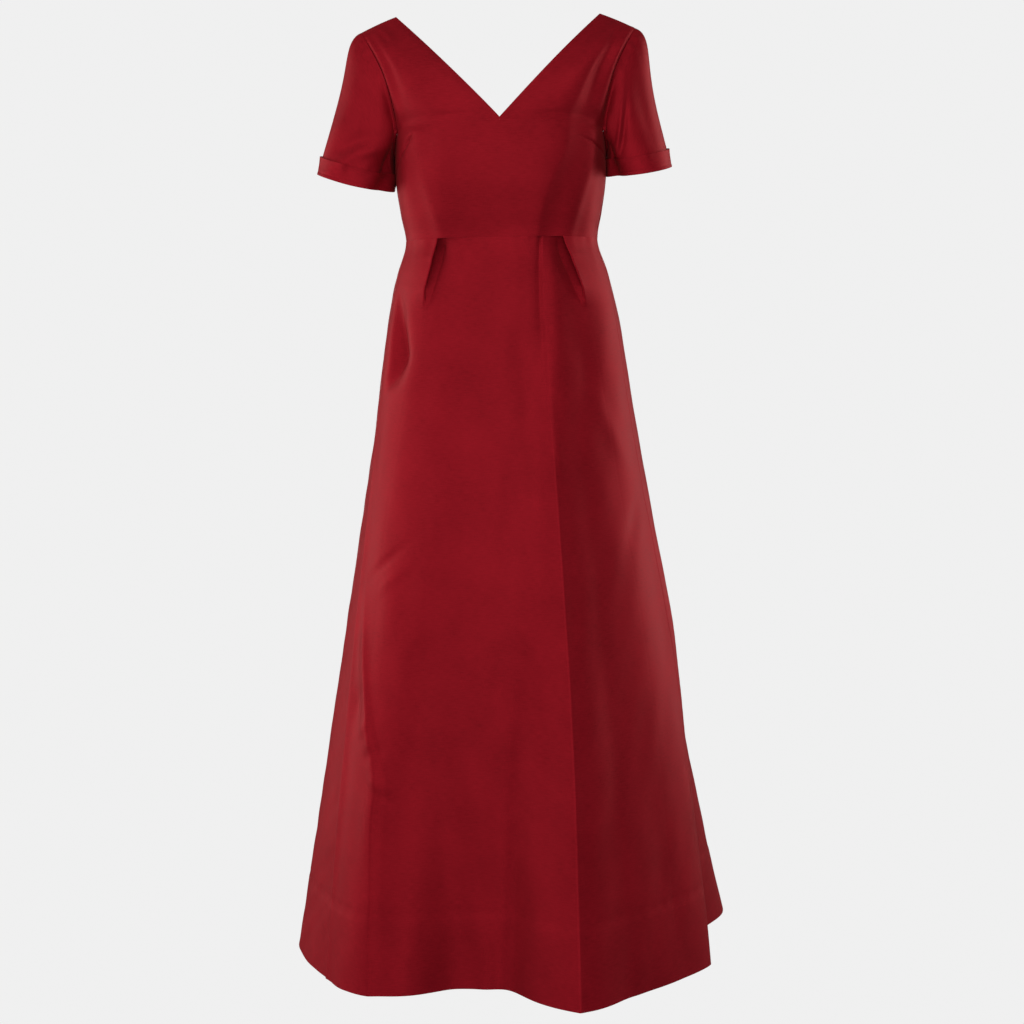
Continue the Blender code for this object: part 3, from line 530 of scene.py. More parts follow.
def side_lift(distance, drop):
    """How far the side cloth stands out over a pleat: exp(-distance from its edge / width), from a
    quarter of the lift at the waist, where it is sewn down, to all of it 26 mm below."""
    start = np.clip(0.25 + (drop - WAIST) / 0.035, 0, 1)
    return PLEAT_LIFT * fading(drop) * start * np.exp(-distance / LIFT_WIDTH)


def pleat_dip(drop):
    """Depth of the hollow beside a pleat's edge: deepest a little below the waist."""
    shape = smooth(drop, [WAIST, 0.342, 0.360, 0.380, PLEAT_OPENS, PLEAT_END, HEM],
                   [0.45, 1.0, 1.0, 0.75, 0.42, 0.0, 0.0])
    return PLEAT_DIP * np.clip(shape, 0, 1)


def beside_pleat(points, outward, distance, drop):
    """The side cloth lifts over the pleat, and the middle cloth dips away beneath its edge."""
    lift = side_lift(np.maximum(distance, 0), drop)
    dip = pleat_dip(drop) * np.exp(-np.maximum(-distance, 0) / DIP_WIDTH)
    return points + outward * np.where(distance > 0, lift, -dip)[..., None]


def pleat_walls(azimuth, drop, side, turns=9):
    """Outer and inner face of a pleat, from the side cloth to the middle cloth. The cloth turns
    under by an angle, runs on and turns back by the same angle: half a turn makes three layers.
    Towards the end the angle falls to none, and the arcs, whose lengths stay, unroll flat."""
    folded = np.clip((PLEAT_END - drop) / (PLEAT_END - PLEAT_OPENS), 0, 1)
    angle = np.pi * np.maximum(folded, 0.12 * np.maximum(fading(drop), 0.05))
    fullness = np.clip((PLEAT_OPENS - drop) / (PLEAT_OPENS - WAIST), 0, 1)
    run = 0.0006 + PLEAT_DEPTH * fullness**0.8
    radius = PLEAT_RADIUS * np.pi / angle
    share = np.linspace(0, 1, turns)
    turn, back = angle * share, angle * share[::-1]
    on_run = np.linspace(0, 1, 6)[1:-1] * run
    first_x, first_y = -radius * np.sin(turn), radius * (1 - np.cos(turn))
    run_x = first_x[:, -1:] - on_run * np.cos(angle)
    run_y = first_y[:, -1:] + on_run * np.sin(angle)
    start_x = first_x[:, -1:] - run * np.cos(angle)
    start_y = first_y[:, -1:] + run * np.sin(angle)
    second_x = start_x + radius * (np.sin(back) - np.sin(angle))
    second_y = start_y + radius * (np.cos(back) - np.cos(angle))
    x = np.concatenate([first_x, run_x, second_x], 1)
    y = np.concatenate([first_y, run_y, second_y], 1) + CLOTH / 2
    heading = np.concatenate([turn, angle + 0 * on_run, back], 1)
    at_edge = skirt_radius(azimuth, drop)
    faces = []
    for off in (CLOTH / 2, -CLOTH / 2):
        across, deep = x - np.sin(heading) * off, y - np.cos(heading) * off
        places = azimuth + side * np.degrees(across / at_edge)
        points, outward = ringed(skirt_radius, places, drop)
        height = side_lift(np.maximum(across, 0), drop) - deep
        faces.append(points + outward * height[..., None])
    return faces


print("a pleat at the waist is", PLEAT_DEPTH, "m deep")

# %% The skirt's rows: close together over the pleats, wider below
t = np.linspace(0, 1, 186)
SKIRT_DROPS = (WAIST + (HEM - WAIST) * smooth(t, [0, 0.14, 0.24, 0.50, 1.0],
                                              [0, 0.052, 0.118, 0.40, 1.0]))[:, None]
SKIRT_DROPS[0] += SEAM_GAP / 2
HEM_FOLD = (0.0008 * np.clip((SKIRT_DROPS - HEM_STITCH) / 0.004, 0, 1))[..., None]


def skirt_inner(outer, outward):
    """The inner face: one layer in, and two below the stitches, where the hem is turned up."""
    return outer - outward * (CLOTH + HEM_FOLD)


def front_walls():
    """Outer and inner face of the front panel, from its right seam to its left seam."""
    drop = SKIRT_DROPS
    left, left_pleat, ridge, right_pleat, right = (
        line_azimuth(which, drop) for which in range(LEFT_SEAM, RIGHT_SEAM + 1))
    clear = np.degrees(0.008 / skirt_radius(left_pleat, drop))
    left, right = gap_angle(left, drop, 1), gap_angle(right, drop, -1)
    stretches = (
        (between(left, left_pleat, 45, 0.5)[:, :-1], left_pleat, -1),
        (between(left_pleat + clear, ridge, 80, 0.5), left_pleat, -1),
        (between(ridge, right_pleat - clear, 42, 0.5)[:, 1:], right_pleat, 1),
        (between(right_pleat, right, 36, 0.5)[:, 1:], right_pleat, 1))
    faces = []
    for azimuth, pleat, side in stretches:
        points, outward = ringed(skirt_radius, azimuth, drop)
        distance = side * np.radians(azimuth - pleat) * skirt_radius(azimuth, drop)
        points = beside_pleat(points, outward, distance, drop)
        faces.append((points, skirt_inner(points, outward)))
    left_folds = pleat_walls(left_pleat, drop, -1)
    right_folds = [face[:, ::-1] for face in pleat_walls(right_pleat, drop, 1)]
    for folds in (left_folds, right_folds):
        folds[1] = folds[1] + (folds[1] - folds[0]) / CLOTH * HEM_FOLD
    faces = [faces[0], left_folds, faces[1], faces[2], right_folds, faces[3]]
    return [np.concatenate([pair[i] for pair in faces], 1) for i in (0, 1)]


outer, inner = front_walls()
PIECES["skirt_front"] = make_cloth("front_panel", outer, inner, level=True)

# %% [markdown]
# ## The back of the skirt
# Two panels meet at the centre back, where the zip is. They carry the same folds on, a little
# plainer, and flare furthest at the back corners of the hem.


# %% The two back panels
def back_walls(start, end, columns):
    """Outer and inner face between two columns of azimuths, with its sewn edges rolled in."""
    drop = SKIRT_DROPS
    azimuth = between(gap_angle(start, drop, 1), gap_angle(end, drop, -1), columns, 0.6)
    points, outward = ringed(skirt_radius, azimuth, drop)
    points = rolled(points, outward, ("start", "end"), depth=0.0005)
    return points, skirt_inner(points, outward)


middle = np.full(SKIRT_DROPS.shape, 180.0)
walls = back_walls(line_azimuth(RIGHT_SEAM, SKIRT_DROPS), middle, 150)
PIECES["skirt_back_left"] = make_cloth("back_panel_left", *walls, level=True)
walls = back_walls(middle, 360 + line_azimuth(LEFT_SEAM, SKIRT_DROPS), 150)
PIECES["skirt_back_right"] = make_cloth("back_panel_right", *walls, level=True)

# %% [markdown]
# ## The bodice
# Below the bust seam the bodice lies on the same rings as the skirt's waist. Above it each yoke is a
# Coons patch: four edge curves are known, the bust seam, neckline, shoulder seam and armhole, and
# the patch fills them smoothly. The darts and the soft dents are added along the normals.

# %% The armhole and the shoulder seam
ARMHOLE = np.array([
    # x,      y,      z, in even steps of a turn: underarm, up the front, shoulder, down the back
    (0.1556, 0.004, -0.205),
    (0.1505, -0.040, -0.171),
    (0.1560, -0.049, -0.134),
    (0.1690, -0.045, -0.088),
    (0.1890, -0.026, -0.046),
    (0.2030, 0.004, -0.022),
    (0.1930, 0.036, -0.046),
    (0.1740, 0.052, -0.095),
    (0.1600, 0.050, -0.145),
    (0.1545, 0.034, -0.184),
])
CORNER_TURN, SHOULDER_TURN = 0.1, 0.5
SEAM_END_AZIMUTH, SEAM_END_DIP = 75.0, 0.005
SHOULDER_UP = unit(np.array([NECK_POINT[2] - SHOULDER_POINT[2], 0.0,
                             SHOULDER_POINT[0] - NECK_POINT[0]]))
CHEST = np.array([0.08, 0.0, -0.16])


def armhole(turn):
    """A smooth closed loop through the armhole's points, pressed onto the rings below the seam."""
    count = len(ARMHOLE)
    places = np.arange(-count, 2 * count) / count
    loop = smooth(np.asarray(turn, float) % 1.0, places, np.tile(ARMHOLE, (3, 1)))
    x, y, drop = loop[..., 0], loop[..., 1], -loop[..., 2]
    on_ring = ring_radius(np.degrees(np.arctan2(x, -y)), drop) / np.hypot(x, y)
    onto = 1 + (on_ring - 1) * np.clip((drop - BUST_SEAM) / 0.005, 0, 1)
    return loop * np.stack([onto, onto, np.ones(onto.shape)], -1)


def bend(start, bulge, end, t):
    """A curve that stands off its chord by bulge halfway: chord + 4 t (1 - t) bulge."""
    t = t[:, None]
    return start * (1 - t) + end * t + 4 * t * (1 - t) * np.asarray(bulge)


def shoulder_seam(shift, count):
    """The shoulder seam from the neck to the armhole, moved by half a gap to the front or back."""
    t = np.linspace(0, 1, count)
    return bend(NECK_POINT, [0, 0, 0.001], SHOULDER_POINT, t) + [0, shift, 0]


def patch(bottom, top, inner, outer):
    """A Coons patch: the sum of the two ruled surfaces less the one through the corners."""
    v = np.linspace(0, 1, len(inner))[:, None, None]
    u = np.linspace(0, 1, len(bottom))[None, :, None]
    ruled = (1 - v) * bottom[None] + v * top[None] + (1 - u) * inner[:, None] + u * outer[:, None]
    corners = (1 - v) * ((1 - u) * bottom[0] + u * bottom[-1])
    return ruled - corners - v * ((1 - u) * top[0] + u * top[-1])


def outward_of(grid, away_from):
    """Unit normals of a grid, on the side away from a point."""
    normals = unit(np.cross(np.gradient(grid, axis=0), np.gradient(grid, axis=1)))
    return normals * np.sign(np.sum(normals * (grid - away_from), -1, keepdims=True))


print("the armhole's corner:", armhole(CORNER_TURN).round(4))

# %% The lower front, with its darts
BODICE_CREASES = (
    # drop, azimuth, height, widths on either side: the darts, from the side seams to the bust
    (1.3, ((0.177, -54.0, 0.0000, 2.0, 2.0), (0.185, -58.8, -0.0026, 2.4, 1.4),
           (0.199, -65.0, -0.0030, 2.4, 1.4), (0.214, -71.0, -0.0026, 2.6, 1.6),
           (0.240, -84.0, -0.0010, 4.0, 3.0))),
    (1.3, ((0.186, 51.0, 0.0000, 2.0, 2.0), (0.192, 57.0, -0.0022, 1.6, 2.6),
           (0.198, 65.0, -0.0026, 1.6, 2.6), (0.204, 72.0, -0.0020, 1.8, 2.8),
           (0.216, 84.0, -0.0008, 3.0, 4.0))),
)
BODICE_DENTS = (
    (-56.0, 0.176, 0.0030, 7.0, 0.014, 0.0),
    (60.0, 0.178, 0.0028, 7.0, 0.014, 0.0),
    (-46.0, 0.196, -0.0012, 4.0, 0.012, 0.0),
    (-66.0, 0.250, 0.0016, 7.0, 0.050, 0.0),
    (62.0, 0.255, 0.0018, 7.0, 0.045, 0.0),
    (-18.0, 0.196, -0.0007, 8.0, 0.004, 0.0),
)


def side_azimuth(drop, side):
    """Azimuth of a side seam on the bodice, from the underarm to the waist."""
    at_waist = abs(line_azimuth(RIGHT_SEAM if side > 0 else LEFT_SEAM, WAIST))
    return smooth(drop, [UNDERARM, 0.27, WAIST], [91.5, 0.5 * (91.5 + at_waist), at_waist])


def seam_drop(azimuth):
    """Drop of the bust seam: level in front, a little lower at the armholes."""
    return BUST_SEAM + SEAM_END_DIP * (np.abs(azimuth) / SEAM_END_AZIMUTH) ** 3


def bodice_radius(azimuth, drop):
    """The pressed ring with the bodice's creases, dents and ripples, which fade over 12 mm to
    none at its two seams, and a small dip at the waist."""
    fade = np.clip((np.minimum(drop - BUST_SEAM, WAIST - drop)) / 0.012, 0, 1)
    arc = np.radians(azimuth) * 0.13
    soft = (relief(azimuth, drop, BODICE_CREASES, BODICE_DENTS)
            + ripples(arc, drop, 11, 0.0004, 0.10, 0.12))
    dip = 0.0003 * np.exp(-(WAIST - drop) / 0.0016)
    return ring_radius(azimuth, drop) + pressed(azimuth, drop) + soft * fade - dip


def front_side_edge(side, seam_rows, hole_rows):
    """Azimuths and drops of the lower front's edge: up the side seam and on to the bust seam."""
    seam = np.linspace(WAIST - SEAM_GAP / 2, UNDERARM, seam_rows)
    up_seam = np.stack([side_azimuth(seam, side), seam], -1)
    hole = armhole(np.linspace(0, CORNER_TURN, hole_rows + 1)[1:])
    around = np.stack([np.degrees(np.arctan2(hole[:, 0], -hole[:, 1])), -hole[:, 2]], -1)
    around[-1] = SEAM_END_AZIMUTH, BUST_SEAM + SEAM_END_DIP
    return np.concatenate([up_seam, around])


def lower_front():
    """Outer and inner face: each row runs from side seam to side seam, and the rows share out the
    height between the waist and the bust seam evenly."""
    left, right = front_side_edge(1, 60, 24), front_side_edge(-1, 60, 24)
    across = between(-1.0, 1.0, 180, 0.5)
    edge = np.where(across > 0, left[:, :1], right[:, :1])
    azimuth = across * gap_angle(edge, left[:, 1:], -1)
    rise = (WAIST - left[:, 1:]) / (WAIST - left[-1, 1])
    drop = WAIST - rise * (WAIST - seam_drop(across * SEAM_END_AZIMUTH) - SEAM_GAP / 2)
    outer, outward = ringed(bodice_radius, azimuth, drop)
    outer = rolled(outer, outward, ("start", "end"))
    return outer, outer - outward * CLOTH


PIECES["bodice_front_lower"] = make_cloth("lower_front", *lower_front(), level=True)

# %% The yokes
YOKE_WIDTH = 0.15
# The slope of the cloth below the bust seam is taken over SLOPE_STEP, and fades over SLOPE_REACH.
SLOPE_STEP, SLOPE_REACH = 0.006, 0.016
# A yoke's edge sinks this far below the sleeve's at the armhole, and over this width.
ARMHOLE_SINK, SINK_WIDTH = 0.0009, 0.0050
YOKE_DENTS = (
    # u from the neckline to the armhole, v from the bust seam to the shoulder, height, and spreads
    (0.92, 0.42, 0.0034, 0.05, 0.34),
    (0.80, 0.45, -0.0014, 0.06, 0.30),
    (0.45, 0.35, 0.0012, 0.20, 0.25),
    (0.62, 0.80, -0.0018, 0.07, 0.08),
    (0.42, 0.05, -0.0014, 0.12, 0.030),
)


def upper_height(u, v, seed, dents):
    """Soft dents and ripples on a grid of two shares, none at the edges."""
    total = ripples(u * YOKE_WIDTH, v * 0.17, seed, 0.0006, 0.09, 0.16)
    total = total + relief(u, v, dents=dents)
    return total * np.clip(np.minimum(v, 1 - v) / 0.06, 0, 1) * np.clip((1 - u) / 0.04, 0, 1)


def raised(grid, outward, height):
    """Every point moved along its outward direction by its height."""
    return grid + outward * height[..., None]


def front_ring(azimuth, drop):
    """The ring as the stiff front is pressed, with no creases."""
    return ring_radius(azimuth, drop) + pressed(azimuth, drop)


def front_yoke(turn_of, seed, dents, columns=90, rows=100):
    """Outer and inner face of a front yoke, given on the wearer's left. turn_of is -1 for the
    right one, whose seam follows that side of the pressed front."""
    azimuth = np.linspace(0, SEAM_END_AZIMUTH, columns)
    azimuth[0] = np.degrees(SEAM_GAP / 2 / 0.118)
    drops = seam_drop(azimuth) - SEAM_GAP / 2
    at_seam = ringed(front_ring, turn_of * azimuth[None], drops[None])
    bottom, level = (part[0] * [turn_of, 1, 1] for part in at_seam)
    top = shoulder_seam(-SEAM_GAP / 2, columns)
    v_point = bottom[0] * [1, 1, 0] + [0, 0, -FRONT_V_DROP]
    neckline = bend(v_point, [0, -0.018, 0.001], top[0], np.linspace(0, 1, rows - 1))
    inner = np.concatenate([bottom[:1], neckline])
    outer = armhole(np.linspace(CORNER_TURN, SHOULDER_TURN, rows))
    outer[0], outer[-1] = bottom[-1], top[-1]
    grid = patch(bottom, top, inner, outer)
    # Near the bust seam the patch takes the slope of the cloth below it.
    below = ringed(front_ring, turn_of * azimuth[None], drops[None] + SLOPE_STEP)[0][0]
    height = (grid[..., 2] - bottom[:, 2])[..., None]
    straight = bottom + (bottom - below * [turn_of, 1, 1]) * (height / SLOPE_STEP)
    u, v = np.meshgrid(np.linspace(0, 1, columns), np.linspace(0, 1, rows))
    inside = np.clip(np.minimum(u, 1 - u) / 0.10, 0, 1)[..., None] * [1, 1, 0]
    grid = grid + (straight - grid) * inside * bell(height, SLOPE_REACH)
    outward = outward_of(grid, CHEST)
    outward[0], outward[1, 0], outward[-1] = level, level[0], SHOULDER_UP
    grid = raised(grid, outward, upper_height(u, v, seed, dents))
    sunk = ARMHOLE_SINK * bell((1 - u) * YOKE_WIDTH, SINK_WIDTH)
    sunk = sunk * np.clip((1 - v) / 0.25, 0, 1) * np.clip(v / 0.15, 0, 1)
    grid = raised(grid, outward, -sunk)
    return grid, grid - outward * CLOTH


left_dents = YOKE_DENTS[2:] + ((0.50, 0.40, 0.0022, 0.13, 0.36), (0.73, 0.42, -0.0050, 0.09, 0.40),
                               (0.90, 0.42, 0.0040, 0.06, 0.40))
walls = front_yoke(1.0, 21, left_dents)
PIECES["yoke_front_left"] = make_cloth("front_yoke_left", *walls, level=True)
walls = [mirrored(face) for face in front_yoke(-1.0, 22, YOKE_DENTS)]
PIECES["yoke_front_right"] = make_cloth("front_yoke_right", *walls, level=True)


# %% The back bodice
def back_bodice(side, seed, columns=110, low_rows=60, high_rows=90):
    """Outer and inner face of a back bodice piece, given on the wearer's left."""
    drops = np.linspace(WAIST - SEAM_GAP / 2, UNDERARM, low_rows)[:, None]
    edge = gap_angle(side_azimuth(drops, side), drops, 1)
    centre = gap_angle(180.0, drops, -1)
    across = np.linspace(0, 1, columns)
    azimuth = centre + across * (edge - centre)
    lower, level = ringed(ring_radius, azimuth, drops)
    bottom = lower[-1]
    top = smooth(across, np.linspace(0, 1, 7), shoulder_seam(SEAM_GAP / 2, 7))
    v_point = bottom[0] * [1, 1, 0] + [0, 0, -BACK_V_DROP]
    neckline = bend(v_point, [0, 0.010, 0.0], top[0], np.linspace(0, 1, high_rows - 1))
    inner = np.concatenate([bottom[:1], neckline])
    outer = armhole(np.linspace(1.0, SHOULDER_TURN, high_rows))
    outer[0], outer[-1] = bottom[-1], top[-1]
    upper = patch(bottom, top, inner, outer)
    outward = outward_of(upper, CHEST)
    outward[0], outward[1, 0], outward[-1] = level[-1], level[-1, 0], SHOULDER_UP
    grid = np.concatenate([lower, upper[1:]])
    outward = np.concatenate([level, outward[1:]])
    u, v = np.meshgrid(across, np.linspace(0, 1, len(grid)))
    dents = ((0.30, 0.45, 0.0018, 0.14, 0.20), (0.62, 0.28, -0.0016, 0.06, 0.18),
             (0.86, 0.62, -0.0020, 0.06, 0.16), (0.72, 0.66, 0.0018, 0.08, 0.16))
    grid = raised(grid, outward, upper_height(u, v, seed, dents))
    grid = rolled(grid, outward, ("end", "top"))
    return grid, grid - outward * CLOTH


PIECES["bodice_back_left"] = make_cloth("back_bodice_left", *back_bodice(1, 31), level=True)
walls = [mirrored(face) for face in back_bodice(-1, 32)]
PIECES["bodice_back_right"] = make_cloth("back_bodice_right", *walls, level=True)

# %% [markdown]
# ## Sleeves and cuffs
# A sleeve is a tube between two loops, the armhole and its open end. Its head is cut a little longer
# than the armhole and eased in, so it stands up in a rounded cap with a few small puckers. The cuff
# is the sleeve's own surface near its end, moved out, and its top edge stands off in places.

# %% The sleeves
SLEEVES = {
    # middle x, y, z, half-width, half-depth, rise of the outer edge, rise of the back edge
    "left": (0.2070, 0.004, -0.2305, 0.0460, 0.0620, 0.0065, 0.0090),
    "right": (0.2189, 0.004, -0.2400, 0.0524, 0.0640, 0.0140, 0.0090),
}
CUFF_HEIGHT, CUFF_FLARE, CUFF_CLOTH = 0.026, 0.0028, 0.0010
CAP_BULGE, CAP_PEAK, ARMHOLE_GAP, UNDERARM_CLEAR = 0.0105, 0.13, 0.0001, 0.0010
GROOVE_PEAK = 0.040
SLEEVE_DENTS = {
    # turn, share of the way down, height, spread in turns, spread down, lean
    "left": ((0.185, 0.52, 0.0028, 0.018, 0.24, -0.28), (0.222, 0.52, -0.0030, 0.020, 0.24, -0.28),
             (0.36, 0.50, -0.0026, 0.040, 0.30, 0.00), (0.28, 0.30, 0.0016, 0.050, 0.20, 0.10),
             (0.100, 0.66, -0.0130, 0.046, 0.46, 0.03), (0.960, 0.50, 0.0022, 0.040, 0.60, 0.0)),
    "right": ((0.235, 0.62, 0.0048, 0.035, 0.22, 0.37), (0.315, 0.66, -0.0046, 0.036, 0.22, 0.37),
              (0.40, 0.60, 0.0020, 0.035, 0.24, 0.20), (0.17, 0.72, -0.0022, 0.030, 0.16, 0.20),
              (0.33, 0.20, -0.0016, 0.030, 0.10, 0.30),
              (0.100, 0.66, -0.0130, 0.046, 0.46, 0.03), (0.960, 0.50, 0.0022, 0.040, 0.60, 0.0)),
}


def sleeve_surface(which, turn, down):
    """A straight blend of the armhole and the end loop, with the cap's bulge, t e^(1 - t), added."""
    x, y, z, half_width, half_depth, outer_rise, back_rise = SLEEVES[which]
    angle = 2 * np.pi * turn
    end = np.stack([x - half_width * np.cos(angle), y - half_depth * np.sin(angle),
                    z - outer_rise * np.cos(angle) - back_rise * np.sin(angle)], -1)
    start = armhole(turn)
    clear = UNDERARM_CLEAR * ((1 + np.cos(angle)) / 2) ** 2 * np.clip(down / 0.05, 0, 1)
    start = start + (ARMHOLE_GAP + clear)[..., None] * np.array([1.0, 0.0, 0.0])
    cap = ((1 - np.cos(angle)) / 2) ** 2 * CAP_BULGE
    bulge = cap * (down / CAP_PEAK) * np.exp(1 - down / CAP_PEAK)
    flat = start * (1 - down)[..., None] + end * down[..., None]
    tube = flat + bulge[..., None] * np.array([0.93, 0, 0.37])
    # Under the arm the tube leans in until it lies against the bodice's side.
    lean = np.clip(np.cos(angle), 0, 1) ** 1.5 * np.clip(down * 4, 0, 1)
    tube[..., 0] -= 0.006 * lean
    level = np.hypot(tube[..., 0], tube[..., 1])
    side = ring_radius(np.degrees(np.arctan2(tube[..., 0], -tube[..., 1])),
                       np.maximum(-tube[..., 2], BUST_SEAM))
    out = np.maximum(1.0, (side + 0.0006 + 0.0016 * down) / level)
    return tube * np.stack([out, out, np.ones(out.shape)], -1)


def sleeve_grid(which, turns, downs, seed):
    """The sleeve's outer face on a grid with its dents, with the puckers of its eased head, and
    with a groove along the armhole's seam, and its outward directions."""
    down, turn = np.broadcast_arrays(downs, turns)
    along = sleeve_surface(which, turn, down + 0.01) - sleeve_surface(which, turn, down - 0.01)
    around = sleeve_surface(which, turn + 0.004, down) - sleeve_surface(which, turn - 0.004, down)
    outward = unit(np.cross(along, around))
    height = np.zeros(down.shape)
    for place, at_down, high, wide, tall, lean in SLEEVE_DENTS[which]:
        shift = (turn - place - lean * (down - at_down) + 0.5) % 1.0 - 0.5
        height = height + high * np.exp(-((shift / wide) ** 2) - ((down - at_down) / tall) ** 2)
    head = ((1 - np.cos(2 * np.pi * turn)) / 2) ** 3
    wave = np.sin(2 * np.pi * (turn * 23 + 0.3 * np.sin(2 * np.pi * turn * 3)))
    height = height + head * 0.0014 * wave * np.exp(-down / 0.06) * np.minimum(down / 0.012, 1)
    rng = np.random.default_rng(seed)
    for around_turns, high in ((2, 0.0007), (3, 0.0006), (5, 0.0003)):
        phase = rng.uniform(0, 6.28, 2)
        height = height + high * np.sin(2 * np.pi * around_turns * turn + phase[0]
                                        + 2.2 * np.sin(2.5 * down + phase[1]))
    deep = 0.0010 * (1 - head) + 0.0050 * np.exp(-(((turn - 0.20) / 0.08) ** 2))
    groove = deep * (down / GROOVE_PEAK) * np.exp(1 - down / GROOVE_PEAK)
    height = height * np.minimum(down / 0.05, 1) - groove
    return sleeve_surface(which, turn, down) + outward * height[..., None], outward


SLEEVE_TURNS = np.arange(150)[None, :] / 150


def sleeve(which, seed):
    """Outer and inner face of a sleeve, with rows that are closer together near the armhole."""
    t = np.linspace(0, 1, 90)[:, None]
    outer, outward = sleeve_grid(which, SLEEVE_TURNS, t**1.25, seed)
    return outer, outer - outward * CLOTH


def cuff(which, seed):
    """Outer and inner face of the turned-up band: the sleeve's points near its end, moved out,
    with its top edge standing off further in two places."""
    ends = sleeve_surface(which, SLEEVE_TURNS, np.array([[0.0], [1.0]]) + 0 * SLEEVE_TURNS)
    length = np.linalg.norm(ends[1] - ends[0], axis=-1)
    up = np.linspace(1, 0, 26)[:, None]
    face, outward = sleeve_grid(which, SLEEVE_TURNS, 1 - CUFF_HEIGHT / length * up, seed)
    at = 0.105 if which == "right" else 0.165
    notches = 0.0034 * bell(SLEEVE_TURNS - at, 0.030) + 0.0014 * bell(SLEEVE_TURNS - 0.30, 0.020)
    stand_off = 0.0003 + (CUFF_FLARE + notches) * up**2
    stitch = 0.0004 * bell((1 - up) * CUFF_HEIGHT - 0.021, 0.0009)
    stand_off = stand_off[..., None]
    outer = face + outward * (stand_off + CUFF_CLOTH - stitch[..., None])
    return outer, face + outward * stand_off


for which, turn_over, seed in (("left", 1.0, 41), ("right", -1.0, 42)):
    flip = np.array([turn_over, 1.0, 1.0])
    walls = [face * flip for face in sleeve(which, seed)]
    PIECES["sleeve_" + which] = make_cloth("short_sleeve_" + which, *walls, closed=True)
    walls = [face * flip for face in cuff(which, seed)]
    PIECES["cuff_" + which] = make_cloth("turned_cuff_" + which, *walls, closed=True)

# %% [markdown]
# ## The zip
# A concealed zip is sewn behind the centre-back seam, so from outside only its slider and pull tab
# show at the top. Inside there is a narrow tape with a coil of small teeth along the seam.


# %% The tape and its teeth
TAPE_HALF_WIDTH, TAPE_COLUMNS, TAPE_CLOTH = 0.012, 13, 0.0007
TAPE_BEHIND, TEETH_BEHIND = 0.0010, 0.0024


def zip_rows(count):
    """Points on the gown's outer face down the zip, over the width of its tape, and the outward
    directions there."""
    drop = np.linspace(BACK_V_DROP + 0.004, ZIP_END, count)[:, None]
    spread = np.degrees(TAPE_HALF_WIDTH / 0.10)
    azimuth = between(180 - spread, 180 + spread, TAPE_COLUMNS)[None, :]
    above, level_above = ringed(ring_radius, azimuth, drop)
    below, level_below = ringed(skirt_radius, azimuth, np.maximum(drop, WAIST))
    on_skirt = (drop > WAIST)[..., None]
    return np.where(on_skirt, below, above), np.where(on_skirt, level_below, level_above)


face, outward = zip_rows(200)
face = face - outward * (CLOTH + TAPE_BEHIND)
PIECES["zip_tape"] = make_cloth("zip_tape_strip", face, face - outward * TAPE_CLOTH)


def make_teeth():
    """A coil's teeth, one small box each: eight corners round every row's middle."""
    rows, level = zip_rows(250)
    outward = level[:, TAPE_COLUMNS // 2]
    centre = rows[:, TAPE_COLUMNS // 2] - outward * (CLOTH + TEETH_BEHIND)
    corners = np.array([(i, j, k) for i in (-1, 1) for j in (-1, 1) for k in (-1, 1)], float)
    sizes = np.array([0.0019, 0.0006, 0.00042])
    across = np.array([1.0, 0.0, 0.0])
    up = np.array([0.0, 0.0, 1.0])
    axes = np.stack([np.broadcast_to(across, outward.shape), outward,
                     np.broadcast_to(up, outward.shape)], 1)
    points = centre[:, None] + np.einsum("ci,nij->ncj", corners * sizes, axes)
    quads = np.array([(0, 1, 3, 2), (4, 6, 7, 5), (0, 4, 5, 1), (2, 3, 7, 6), (0, 2, 6, 4),
                      (1, 5, 7, 3)])
    faces = quads[None] + 8 * np.arange(len(centre))[:, None, None]
    mesh = bpy.data.meshes.new("zip_teeth")
    mesh.from_pydata(points.reshape(-1, 3), [], faces.reshape(-1, 4))
    teeth = bpy.data.objects.new("zip_teeth", mesh)
    bpy.context.scene.collection.objects.link(teeth)
    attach(teeth, "gown")
    print("teeth:", len(centre))
    return teeth


teeth = make_teeth()

# %% [markdown]
# ## The pieces in place of the solids
# Each piece stands for its solid and rides on the gown's body, and the solid
# itself is hidden.

# %% Hiding the solid under each piece
for node, piece in PIECES.items():
    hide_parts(node)
print("sheets:", len(PIECES))

# %% [markdown]
# ## Finishes
# The gown is a heavy silk with a fine rib across it. What the eye reads is a deep red whose broad,
# soft highlights stay red, because dyed threads tint what they reflect. A plain coat of gloss would
# make them white, so the surface is rough and partly metallic, with a trace of pink sheen, and the
# rib and its slubs vary its colour, its roughness and its bump.


# %% A small language for shader maths
class Wire:
    """A node's output, with arithmetic that adds Math nodes."""

    def __init__(self, finish, socket):
        self.finish, self.socket = finish, socket

    def maths(self, operation, *values):
        return self.finish.add("Math", {"operation": operation}, dict(enumerate(values)))

    def __add__(self, other):
        return self.maths("ADD", self, other)

    def __sub__(self, other):
        return self.maths("SUBTRACT", self, other)

    def __rsub__(self, other):
        return self.maths("SUBTRACT", other, self)

    def __mul__(self, other):
        return self.maths("MULTIPLY", self, other)

    __radd__, __rmul__ = __add__, __mul__

    def sine(self):
        return self.maths("SINE", self)

    def clipped(self):
        return self.maths("MINIMUM", self.maths("MAXIMUM", self, 0.0), 1.0)


